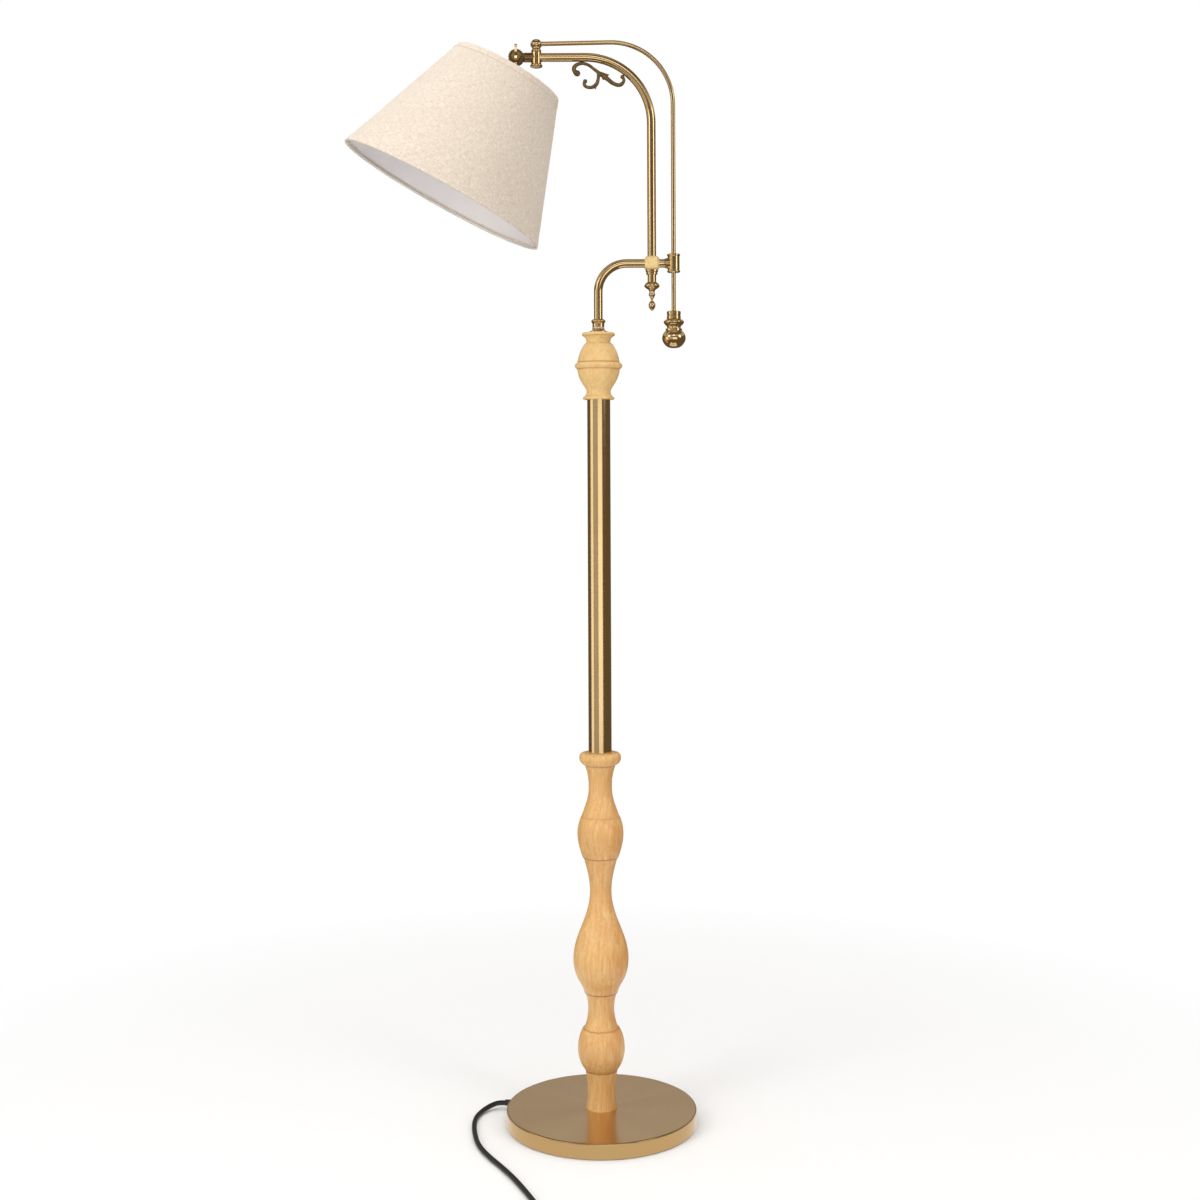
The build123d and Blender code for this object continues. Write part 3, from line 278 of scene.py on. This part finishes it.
def cloth(name, thread, fleck, dark, sheen, bump):
    """Slubbed linen, woven round and along the shade's cone."""
    g = Graph(name, Roughness=0.92, Sheen_Weight=sheen, Sheen_Roughness=0.5, Specular_IOR_Level=0.2)
    place = g.add("Mapping", {"Vector": g.place(), "Location": KNUCKLE, "Rotation": (0, TILT, 0)},
                  vector_type="TEXTURE")
    angle, _, along = g.around(place)
    round_it = g.math("MULTIPLY", angle, CLOTH_RADIUS)
    weft = g.noise(g.vector(g.math("MULTIPLY", round_it, STREAKS_LONG), 0.0,
                            g.math("MULTIPLY", along, STREAKS_FINE)), 1.0, 2.0, 0.65)
    warp = g.noise(g.vector(g.math("MULTIPLY", round_it, STREAKS_FINE), 3.0,
                            g.math("MULTIPLY", along, STREAKS_LONG)), 1.0, 2.0, 0.65)
    slub = g.noise(g.vector(g.math("MULTIPLY", round_it, 60.0), 7.0,
                            g.math("MULTIPLY", along, 700.0)), 1.0, 2.0, 0.5)
    over = g.math("SINE", g.math("MULTIPLY", round_it, 2 * pi / THREAD_PITCH))
    under = g.math("SINE", g.math("MULTIPLY", along, 2 * pi / THREAD_PITCH))
    weave = g.math("MULTIPLY", over, under)
    cloudy = g.noise(g.place(), 16.0, 3.0)
    tone = g.math("ADD", g.span(weft, 0.40, 0.66, 0.0, 0.75), g.span(warp, 0.40, 0.66, 0.0, 0.75))
    colour = g.mix(tone, thread, fleck)
    colour = g.mix(g.span(slub, 0.6, 0.74, 0.0, 0.4), colour, dark)
    colour = g.mix(g.span(cloudy, 0.35, 0.65, 0.0, 0.22), colour, fleck)
    g.to("Base Color", colour)
    relief = g.math("ADD", g.math("MULTIPLY", weave, 0.35), g.math("ADD", weft, warp))
    g.bump(relief, bump, 0.00035)
    return g.material


def plain(name, colour, roughness, scale=240.0, vary=0.12, bump=0.05, metallic=0.0, **sockets):
    """A moulded, cast or plated surface: fine grain, slight clouding and uneven gloss."""
    g = Graph(name, Metallic=metallic, **sockets)
    grain = g.noise(g.place(), scale, 4.0)
    cloud = g.noise(g.place(), scale / 14, 3.0)
    darker = tuple(c * (1 - vary) for c in colour[:3]) + (1,)
    g.to("Base Color", g.mix(g.span(cloud, 0.3, 0.7), colour, darker))
    g.to("Roughness", g.span(grain, 0.3, 0.7, roughness - 0.05, roughness + 0.07))
    g.bump(grain, bump, 0.00015)
    return g.material


def cast_bronze():
    """Cast metal with a dark patina, lighter in random patches."""
    g = Graph("dark_bronze_finish", Metallic=0.85)
    grain = g.noise(g.place(), 620.0, 4.0)
    patch = g.noise(g.place(), 110.0, 3.0)
    g.to("Base Color", g.mix(g.span(patch, 0.35, 0.7), (0.17, 0.11, 0.045, 1),
                             (0.30, 0.20, 0.085, 1)))
    g.to("Roughness", g.span(grain, 0.3, 0.7, 0.42, 0.62))
    g.bump(grain, 0.3, 0.0002)
    return g.material


def opal():
    """White glass, coated inside."""
    g = Graph("opal_glass_finish", Roughness=0.16, Subsurface_Weight=0.2, Coat_Weight=0.3)
    g.shader.inputs["Subsurface Radius"].default_value = (0.004, 0.004, 0.004)
    coating = g.noise(g.place(), 60.0, 3.0)
    g.to("Base Color", g.mix(coating, (0.86, 0.86, 0.84, 1), (0.80, 0.80, 0.78, 1)))
    g.bump(coating, 0.03, 0.0002)
    return g.material


TUBE = ((0.72, 0.54, 0.29, 1), (0.66, 0.48, 0.245, 1))
LINEN = ((0.88, 0.80, 0.71, 1), (0.67, 0.57, 0.465, 1), (0.50, 0.40, 0.31, 1))
finish = {
    "spun_brass": spun_brass(),
    "tube_brass": brass("tube_brass_finish", *TUBE, (0.11, 0.16), (60.0, 60.0, 4.0)),
    "dark_bronze": cast_bronze(),
    "turned_wood": wood("turned_wood_finish", (0.88, 0.61, 0.26, 1), (0.61, 0.33, 0.11, 1),
                        (0.36, 0.18, 0.065, 1), seed=1, ring_strength=0.26, heart_and_shade_share=0.8,
                        creases=COLUMN_CREASES),
    "ball_wood": wood("ball_wood_finish", (0.91, 0.68, 0.31, 1), (0.73, 0.47, 0.175, 1),
                      (0.50, 0.29, 0.10, 1), seed=2, ring_strength=0.18, heart_and_shade_share=0.3,
                      creases=BALL_CREASES),
    "iron": plain("iron_finish", (0.12, 0.12, 0.12, 1), 0.6, metallic=0.7, bump=0.3),
    "zinc": plain("zinc_finish", (0.58, 0.57, 0.53, 1), 0.35, metallic=1.0),
    "nylon": plain("nylon_finish", (0.62, 0.60, 0.55, 1), 0.45),
    "felt": plain("felt_finish", (0.035, 0.035, 0.035, 1), 0.95, 1300.0, 0.3, 0.7),
    "cord_pvc": plain("cord_pvc_finish", (0.009, 0.009, 0.010, 1), 0.5, 900.0, 0.2, 0.12),
    "plug_pvc": plain("plug_pvc_finish", (0.018, 0.018, 0.019, 1), 0.48, 1100.0, 0.15, 0.2),
    "blade_brass": plain("blade_brass_finish", (0.70, 0.56, 0.30, 1), 0.28, metallic=1.0),
    "lead": plain("lead_finish", (0.42, 0.27, 0.08, 1), 0.5),
    "linen": cloth("linen_finish", *LINEN, sheen=0.25, bump=0.6),
    "lining": plain("lining_finish", (0.77, 0.735, 0.74, 1), 0.5, 420.0, 0.04, 0.08),
    "tape": cloth("tape_finish", *LINEN, sheen=0.2, bump=0.5),
    "ring_wire": plain("ring_wire_finish", (0.72, 0.72, 0.70, 1), 0.4, metallic=0.2),
    "phenolic": plain("phenolic_finish", (0.025, 0.022, 0.02, 1), 0.35, 500.0),
    "cap_metal": plain("cap_metal_finish", (0.62, 0.62, 0.60, 1), 0.3, metallic=1.0),
    "opal_glass": opal(),
}
block_brass = brass("block_brass_finish", (0.95, 0.76, 0.38, 1), (0.90, 0.70, 0.33, 1),
                    (0.46, 0.56), (60.0, 60.0, 300.0), metallic=0.65)
pole_brass = brass("pole_brass_finish", *TUBE, (0.14, 0.19), (60.0, 60.0, 2.0))
polished_brass = brass("polished_brass_finish", (0.66, 0.47, 0.225, 1), (0.60, 0.42, 0.195, 1),
                       (0.10, 0.16), (60.0, 60.0, 60.0))
dark_brass = brass("dark_brass_finish", (0.24, 0.155, 0.062, 1), (0.19, 0.12, 0.048, 1),
                   (0.16, 0.24), (60.0, 60.0, 60.0))

for material in frame["record"]["materials"]:
    for obj in nodes.values():
        for slot in obj.material_slots:
            if slot.material and slot.material.name.split(".")[0] == material["slot"]:
                slot.material = finish[material["slot"]]
# the same brass looks different from piece to piece: turned and polished, but for the spun base
for name, obj in nodes.items():
    if name != "base_cover" and obj.material_slots[0].material == finish["spun_brass"]:
        obj.material_slots[0].material = polished_brass
for name, material in (("cross_block", block_brass), ("pole_tube", pole_brass),
                       ("knuckle_clevis", dark_brass), ("knuckle_tongue", dark_brass)):
    nodes[name].material_slots[0].material = material

# ---------------------------------------------------------------- cord

CORD_R = 0.0036
# from inside the strain relief, down to the floor and round to the coil
ROUTE = [
    (-0.1284, 0.0467, 0.0105), (-0.1516, 0.0545, 0.0105), (-0.1645, 0.0500, 0.0080),
    (-0.1752, 0.0405, 0.0050), (-0.1825, 0.0260, 0.0037), (-0.1868, 0.0060, 0.0036),
    (-0.1868, -0.0200, 0.0036), (-0.1836, -0.0500, 0.0036), (-0.1760, -0.0910, 0.0036),
    (-0.1596, -0.1300, 0.0036), (-0.1380, -0.1680, 0.0036), (-0.1185, -0.2070, 0.0036),
    (-0.1006, -0.2500, 0.0036), (-0.0830, -0.2960, 0.0036),
]
# off the top of the coil to the plug
TAIL = [
    (-0.1160, -0.4034, 0.0104), (-0.1320, -0.4016, 0.0084), (-0.1470, -0.3972, 0.0072),
    (-0.1600, -0.3906, 0.0072),
]
COIL_CENTRE = (-0.100, -0.356)
COIL_RADII = (0.0468, 0.0396, 0.0324)
COIL_START_DEG = 32.0
COIL_TURNS = 5 + (COIL_START_DEG + 90) / 360
COIL_STEPS = 16
LAYER = 2 * CORD_R
# the coil's radius after so many turns
COIL_MOVES = [
    (0.0, COIL_RADII[0]), (0.75, COIL_RADII[0]), (1.0, COIL_RADII[1]), (1.75, COIL_RADII[1]),
    (2.0, COIL_RADII[2]), (3.25, COIL_RADII[2]), (3.5, COIL_RADII[1]), (4.25, COIL_RADII[1]),
    (4.5, COIL_RADII[0]), (6.0, COIL_RADII[0]),
]
# the height of the cord's middle after so many turns
COIL_CLIMB = [(0.0, CORD_R), (2.5, CORD_R), (2.75, CORD_R + LAYER), (6.0, CORD_R + LAYER)]


def between(table, at):
    """The value at one place in a table of (place, value), eased from each row to the next."""
    for (start, low), (end, high) in zip(table, table[1:]):
        if start <= at <= end:
            share = (at - start) / (end - start)
            return low + (high - low) * share * share * (3 - 2 * share)


def coil_points():
    """Control points of the coil: one layer inwards, then up and outwards over it."""
    # the share of its control points' radius at which the spline runs
    polygon = (6 + 2 * cos(2 * pi / COIL_STEPS)) / 8
    count = round(COIL_TURNS * COIL_STEPS)
    points = []
    for i in range(count + 1):
        turn = COIL_TURNS * i / count
        angle = radians(COIL_START_DEG - 360 * turn)
        radius = between(COIL_MOVES, turn) / polygon
        points.append((COIL_CENTRE[0] + radius * cos(angle), COIL_CENTRE[1] + radius * sin(angle),
                       between(COIL_CLIMB, turn)))
    return points


def nurbs(name, points, depth, material):
    curve = bpy.data.curves.new(name, "CURVE")
    curve.dimensions = "3D"
    curve.bevel_depth = depth
    curve.bevel_resolution = 6
    curve.use_fill_caps = True
    spline = curve.splines.new("NURBS")
    spline.points.add(len(points) - 1)
    for point, place in zip(spline.points, points):
        point.co = (*place, 1.0)
    spline.order_u = 3
    spline.use_endpoint_u = True
    spline.resolution_u = 8
    curve.materials.append(material)
    obj = bpy.data.objects.new(name, curve)
    scene.collection.objects.link(obj)
    return obj


flex = nurbs("flex", ROUTE + coil_points() + TAIL, CORD_R, finish["cord_pvc"])
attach(flex, "stand")
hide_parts("power_cord", "power_cord_coil", "power_cord_tail")

# ---------------------------------------------------------------- shade

SHADE_TOP, SHADE_BOTTOM = 0.025, 0.232
TOP_R, BOTTOM_R = 0.084, 0.1605
COVER_THICK, LINER_THICK, LINER_GAP = 0.00095, 0.0008, 0.0001
FLARE = (BOTTOM_R - TOP_R) / (SHADE_BOTTOM - SHADE_TOP)
# the head's own frame: Z runs up the shade's axis, X across it, Y to the back
head_z = Vector((sin(TILT), 0, cos(TILT)))
head_x = Vector((cos(TILT), 0, -sin(TILT)))
head_frame = Matrix.Translation(KNUCKLE) @ Matrix(
    [[head_x[i], (0, 1, 0)[i], head_z[i]] for i in range(3)]).to_4x4()
ROUND, ROWS = 240, 30             # steps round the shade, and along it


def cone_r(along):
    """The cover's outer radius at a distance below the knuckle."""
    return TOP_R + FLARE * (along - SHADE_TOP)


def levels(top, bottom):
    """Even steps from one distance below the knuckle to another."""
    return [top + (bottom - top) * i / ROWS for i in range(ROWS + 1)]


def lathe(name, profile, material, ripple=None):
    """A closed profile of (radius, distance below the knuckle), turned about the shade's axis."""
    bm = bmesh.new()
    columns = []
    for j in range(ROUND):
        angle = 2 * pi * j / ROUND
        columns.append([])
        for radius, along in profile:
            reach = radius + (ripple(angle, along) if ripple else 0.0)
            columns[-1].append(bm.verts.new((reach * cos(angle), reach * sin(angle), -along)))
    for j, column in enumerate(columns):
        after = columns[(j + 1) % ROUND]
        for i in range(len(profile)):
            k = (i + 1) % len(profile)
            bm.faces.new((column[i], after[i], after[k], column[k]))
    obj = new_object(name, bm, material)
    obj.data.transform(head_frame)
    return obj


def ease(angle, along):
    """The cloth's own unevenness on its backing."""
    return 0.00016 * sin(5 * angle + 9 * along) + 0.00009 * sin(17 * angle - 60 * along)


def wall(near, far):
    """The closed profile of a cone's wall, from one depth in from the cover's face to another."""
    rows = levels(SHADE_TOP, SHADE_BOTTOM)
    return ([(cone_r(along) - near, along) for along in rows]
            + [(cone_r(along) - far, along) for along in reversed(rows)])


shade_cloth = lathe("shade_cloth", wall(0.0, COVER_THICK), finish["linen"], ripple=ease)
shade_liner = lathe("shade_liner", wall(COVER_THICK + LINER_GAP, COVER_THICK + LINER_THICK),
                    finish["lining"])

TAPE_PROUD, TAPE_WIDTH, INNER_SHARE = 0.0005, 0.008, 0.7
HEM_ROLL, ROLL_STEPS = 0.0011, 8
# along a leg of the tape, from its turned-in edge to the rim: the share left, and its rise
TAPE_LEG = [(1.0, 0.35 * TAPE_PROUD), (0.97, TAPE_PROUD), (0.9, TAPE_PROUD), (0.6, TAPE_PROUD),
            (0.3, TAPE_PROUD), (0.1, TAPE_PROUD)]


def hem(name, edge, inward):
    """A bias tape folded over a rim: a roll at the edge, and its two legs flat on the wall."""
    leg = inward * TAPE_WIDTH
    thick = COVER_THICK + LINER_THICK
    middle, reach = cone_r(edge) - thick / 2, thick / 2 + TAPE_PROUD
    profile = []
    for share, rise in TAPE_LEG:
        profile.append((cone_r(edge + leg * share) + rise, edge + leg * share))
    for step in range(1, ROLL_STEPS):
        angle = pi * step / ROLL_STEPS
        profile.append((middle + reach * cos(angle), edge - inward * HEM_ROLL * sin(angle)))
    for share, rise in reversed(TAPE_LEG):
        along = edge + leg * share * INNER_SHARE
        profile.append((cone_r(along) - thick - rise, along))
    return lathe(name, profile, finish["tape"], ripple=ease)


hem_top = hem("shade_hem_top", SHADE_TOP + HEM_ROLL, 1)
hem_bottom = hem("shade_hem_bottom", SHADE_BOTTOM - HEM_ROLL, -1)

SEAM_TURN = pi / 2
SEAM_HALF, SEAM_INSET = 0.0055, 0.006
# across the seam: the share of its half width, and how far it stands out
SEAM_SECTION = [(-1.0, 0.0), (-0.94, 0.00042), (-0.6, 0.00055), (0.6, 0.00055), (0.94, 0.00042),
                (1.0, 0.0)]


def lapped_seam():
    """The cover's seam: the cloth's turned edge, lapped 11 mm over itself at the back."""
    bm = bmesh.new()
    rows = []
    for along in levels(SHADE_TOP + SEAM_INSET, SHADE_BOTTOM - SEAM_INSET):
        radius = cone_r(along)
        rows.append([])
        for side, rise in SEAM_SECTION:
            angle = SEAM_TURN + side * SEAM_HALF / radius
            reach = radius + rise + ease(angle, along)
            rows[-1].append(bm.verts.new((reach * cos(angle), reach * sin(angle), -along)))
    for row, below in zip(rows, rows[1:]):
        for i in range(len(SEAM_SECTION) - 1):
            bm.faces.new((row[i], row[i + 1], below[i + 1], below[i]))
    obj = new_object("shade_seam", bm, finish["linen"])
    obj.data.transform(head_frame)
    return obj


shade_seam = lapped_seam()

for piece, node, slot in (
    (shade_cloth, "shade_cover", "linen"),
    (shade_liner, "shade_lining", "lining"),
    (hem_top, "shade_tapes", "tape"),
    (hem_bottom, "shade_tapes", "tape"),
    (shade_seam, "shade_cover", "linen"),
):
    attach(piece, "head")
    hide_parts(node)

# ---------------------------------------------------------------- scroll ornament

# All in millimetres, as (x, z): the strokes' points, half their widths there, the curls' ends with
# their radii, and the leaves' corners.
SCROLLS = [
    [(-32.1, 1548.1), (-34.4, 1556.0), (-27.5, 1562.2), (-15.5, 1561.6), (-4.5, 1554.2),
     (6.0, 1546.0)],
    [(4.3, 1548.1), (14.5, 1540.2), (25.0, 1532.6), (33.6, 1531.2), (39.0, 1536.8),
     (38.4, 1542.2)],
    [(1.6, 1549.1), (1.2, 1540.0), (-2.2, 1531.4), (-11.0, 1527.4), (-19.0, 1531.0),
     (-18.9, 1536.8)],
]
SCROLL_REACH = [
    (3.1, 3.3, 2.7, 2.3, 2.4, 3.0),
    (3.4, 3.4, 2.9, 3.0, 2.4, 2.0),
    (2.4, 2.5, 3.0, 2.5, 2.5, 2.5),
]
CURL_ENDS = [(-29.8, 1548.4, 4.8), (37.0, 1542.8, 3.2), (-18.0, 1536.6, 3.3)]
LEAF_TIPS = [
    [(4.0, 1551.0), (17.8, 1546.3), (12.0, 1541.0)],
    [(3.6, 1547.0), (8.6, 1537.8), (14.0, 1542.0)],
    [(3.6, 1537.6), (-3.2, 1523.8), (-5.6, 1529.6)],
]
# half the ornament's thickness, and half the leaves' at their edges
ORNAMENT_HALF, LEAF_EDGE_HALF = 2.5, 0.9
FUSE_VOXEL = 0.00045              # in metres


def stroke(points, reach):
    """A rounded stroke through the points, as a mesh."""
    curve = bpy.data.curves.new("stroke", "CURVE")
    curve.dimensions = "3D"
    spline = curve.splines.new("BEZIER")
    spline.bezier_points.add(len(points) - 1)
    for bezier, (x, z), radius in zip(spline.bezier_points, points, reach):
        bezier.co = (x / 1000, 0, z / 1000)
        bezier.radius = radius
        bezier.handle_left_type = bezier.handle_right_type = "AUTO"
    curve.bevel_depth = 0.001     # so the radii are in millimetres
    curve.bevel_resolution = 5
    curve.use_fill_caps = True
    obj = bpy.data.objects.new("stroke", curve)
    scene.collection.objects.link(obj)
    return applied(obj)


def leaf(bm, tip):
    """A three-cornered leaf, thickest in its middle."""
    middle = Vector((sum(x for x, z in tip) / 3, 0, sum(z for x, z in tip) / 3)) / 1000
    rim = [Vector((x, 0, z)) / 1000 for x, z in tip]
    crests = [bm.verts.new(middle + Vector((0, y, 0)))
              for y in (-ORNAMENT_HALF / 1000, ORNAMENT_HALF / 1000)]
    edge = [[bm.verts.new(p + Vector((0, y, 0))) for p in rim]
            for y in (-LEAF_EDGE_HALF / 1000, LEAF_EDGE_HALF / 1000)]
    for i in range(3):
        k = (i + 1) % 3
        bm.faces.new((edge[0][i], edge[0][k], edge[1][k], edge[1][i]))
        bm.faces.new((crests[0], edge[0][k], edge[0][i]))
        bm.faces.new((crests[1], edge[1][i], edge[1][k]))


def ornament():
    """The scrolls as rounded strokes, fused with their curl ends and leaf tips into one casting."""
    bm = bmesh.new()
    for points, reach in zip(SCROLLS, SCROLL_REACH):
        drawn = stroke(points, reach)
        bm.from_mesh(drawn.data)
        bpy.data.objects.remove(drawn)
    for x, z, radius in CURL_ENDS:
        flatten = Matrix.Diagonal((1, ORNAMENT_HALF / radius, 1, 1))
        bmesh.ops.create_uvsphere(bm, u_segments=32, v_segments=20, radius=radius / 1000,
                                  matrix=Matrix.Translation((x / 1000, 0, z / 1000)) @ flatten)
    for tip in LEAF_TIPS:
        leaf(bm, tip)
    obj = new_object("scroll_casting", bm, finish["dark_bronze"])
    remesh = obj.modifiers.new("fuse", "REMESH")
    remesh.mode = "VOXEL"
    remesh.voxel_size = FUSE_VOXEL
    remesh.use_smooth_shade = True
    soften = obj.modifiers.new("soften", "SMOOTH")
    soften.factor = 0.6
    soften.iterations = 6
    obj = applied(obj)
    for polygon in obj.data.polygons:
        polygon.use_smooth = True
    return obj


casting = ornament()
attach(casting, "arm")
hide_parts("scroll_ornament")

# ---------------------------------------------------------------- stage and lights

FLOOR_R = 2.6
FADE_FROM, FADE_TO = 0.2, 1.3      # where the floor's shading gives way to the plain backdrop
BACKDROP = (1.0, 1.0, 1.0, 1)
bm = bmesh.new()
bmesh.ops.create_circle(bm, cap_ends=True, segments=96, radius=FLOOR_R)
g = Graph("floor_finish", Roughness=0.6, Specular_IOR_Level=0.15)
away = g.around(g.place())[1]
paper = g.noise(g.place(), 30.0, 3.0)
g.to("Base Color", g.mix(paper, (0.93, 0.93, 0.93, 1), (0.91, 0.91, 0.91, 1)))
white = g.add("Emission", {"Color": BACKDROP})
faded = g.add("MixShader", {0: g.span(away, FADE_FROM, FADE_TO), 1: g.shader.outputs[0],
                            2: white})
g.tree.links.new(faded, g.tree.nodes["Material Output"].inputs["Surface"])
floor = new_object("floor", bm, g.material, smooth=False)
floor.visible_glossy = False


def softbox(name, place, aim, size, power, colour=(1, 1, 1)):
    light = bpy.data.lights.new(name, "AREA")
    light.shape = "RECTANGLE"
    light.size, light.size_y = size
    light.energy = power
    light.color = colour
    obj = bpy.data.objects.new(name, light)
    obj.location = place
    obj.rotation_euler = (Vector(aim) - Vector(place)).to_track_quat("-Z", "Y").to_euler()
    scene.collection.objects.link(obj)
    return obj


LAMP_MIDDLE = (0, 0, 0.85)
WARM = (1.0, 0.985, 0.96)
# big soft lights for the wood and cloth, which the brass doesn't mirror
for key in (softbox("key_left", (-1.95, -1.85, 1.25), LAMP_MIDDLE, (1.1, 2.3), 38, WARM),
            softbox("key_right", (1.95, -1.85, 1.25), LAMP_MIDDLE, (0.75, 2.3), 23, WARM),
            softbox("overhead", (0, -0.3, 3.2), (0, 0, 0), (3.0, 3.0), 38)):
    key.visible_glossy = False
    key.visible_camera = False

# panels that only the brass mirrors: bearing from the camera's side in degrees, height of the
# middle, width, height and radiance
PANEL_AWAY = 2.7
for name, bearing, middle, width, tall, radiance in (
    ("panel_left", -76, 0.85, 1.5, 1.7, 1.25),
    ("panel_left_dim", -36, 0.85, 2.0, 1.7, 0.42),
    ("panel_left_high", -50, 2.2, 1.1, 1.0, 2.1),
    ("panel_right_low", 10, 0.68, 2.2, 1.3, 1.35),
    ("panel_right_high", 60, 2.0, 1.1, 1.3, 2.2),
    ("panel_top", 0, 2.75, 1.4, 0.6, 2.0),
):
    turn = radians(bearing)
    panel = softbox(name, (PANEL_AWAY * sin(turn), -PANEL_AWAY * cos(turn), middle), (0, 0, middle),
                    (width, tall), radiance * pi * width * tall, WARM)
    panel.visible_diffuse = False
    panel.visible_camera = False
# what the base's rim mirrors, as the floor itself is left out of reflections
FLOOR_PANEL_Z, FLOOR_PANEL_RADIANCE = 0.0008, 0.86
floor_panel = softbox("panel_floor", (0, 0, FLOOR_PANEL_Z), (0, 0, 1), (1.0, 1.0),
                      FLOOR_PANEL_RADIANCE * pi, WARM)
floor_panel.visible_diffuse = False
floor_panel.visible_camera = False

world = bpy.data.worlds.new("studio")
scene.world = world
world.use_nodes = True
tree = world.node_tree
tree.nodes.clear()
coords = tree.nodes.new("ShaderNodeTexCoord")
split = tree.nodes.new("ShaderNodeSeparateXYZ")
tree.links.new(coords.outputs["Generated"], split.inputs[0])


def room(stops):
    """A background that changes with the sine of the elevation, from (sine, colour)."""
    ramp = tree.nodes.new("ShaderNodeValToRGB")
    tree.links.new(split.outputs[2], ramp.inputs[0])
    marks = ramp.color_ramp.elements
    marks[0].position, marks[0].color = stops[0][0], (*stops[0][1], 1)
    marks[1].position, marks[1].color = stops[-1][0], (*stops[-1][1], 1)
    for at, colour in stops[1:-1]:
        marks.new(at).color = (*colour, 1)
    shader = tree.nodes.new("ShaderNodeBackground")
    tree.links.new(ramp.outputs[0], shader.inputs[0])
    return shader.outputs[0]


# the room that lights the lamp, the darker one that its brass mirrors, and the backdrop
lit = room([
    (0.0, (0.17, 0.13, 0.085)), (0.28, (0.19, 0.155, 0.115)), (0.38, (0.55, 0.52, 0.495)),
    (0.9, (0.75, 0.75, 0.75)),
])
mirrored = room([
    (0.0, (0.15, 0.115, 0.075)), (0.27, (0.13, 0.10, 0.065)), (0.35, (0.59, 0.555, 0.525)),
    (0.55, (0.50, 0.47, 0.44)), (0.70, (0.11, 0.085, 0.055)), (0.88, (0.16, 0.13, 0.10)),
    (1.0, (0.60, 0.56, 0.50)),
])
backdrop = tree.nodes.new("ShaderNodeBackground")
backdrop.inputs[0].default_value = BACKDROP
path = tree.nodes.new("ShaderNodeLightPath")
shown = lit
for ray, shader in (("Is Glossy Ray", mirrored), ("Is Camera Ray", backdrop.outputs[0])):
    pick = tree.nodes.new("ShaderNodeMixShader")
    tree.links.new(path.outputs[ray], pick.inputs[0])
    tree.links.new(shown, pick.inputs[1])
    tree.links.new(shader, pick.inputs[2])
    shown = pick.outputs[0]
surface = tree.nodes.new("ShaderNodeOutputWorld")
tree.links.new(shown, surface.inputs[0])
scene.view_settings.view_transform = "Standard"
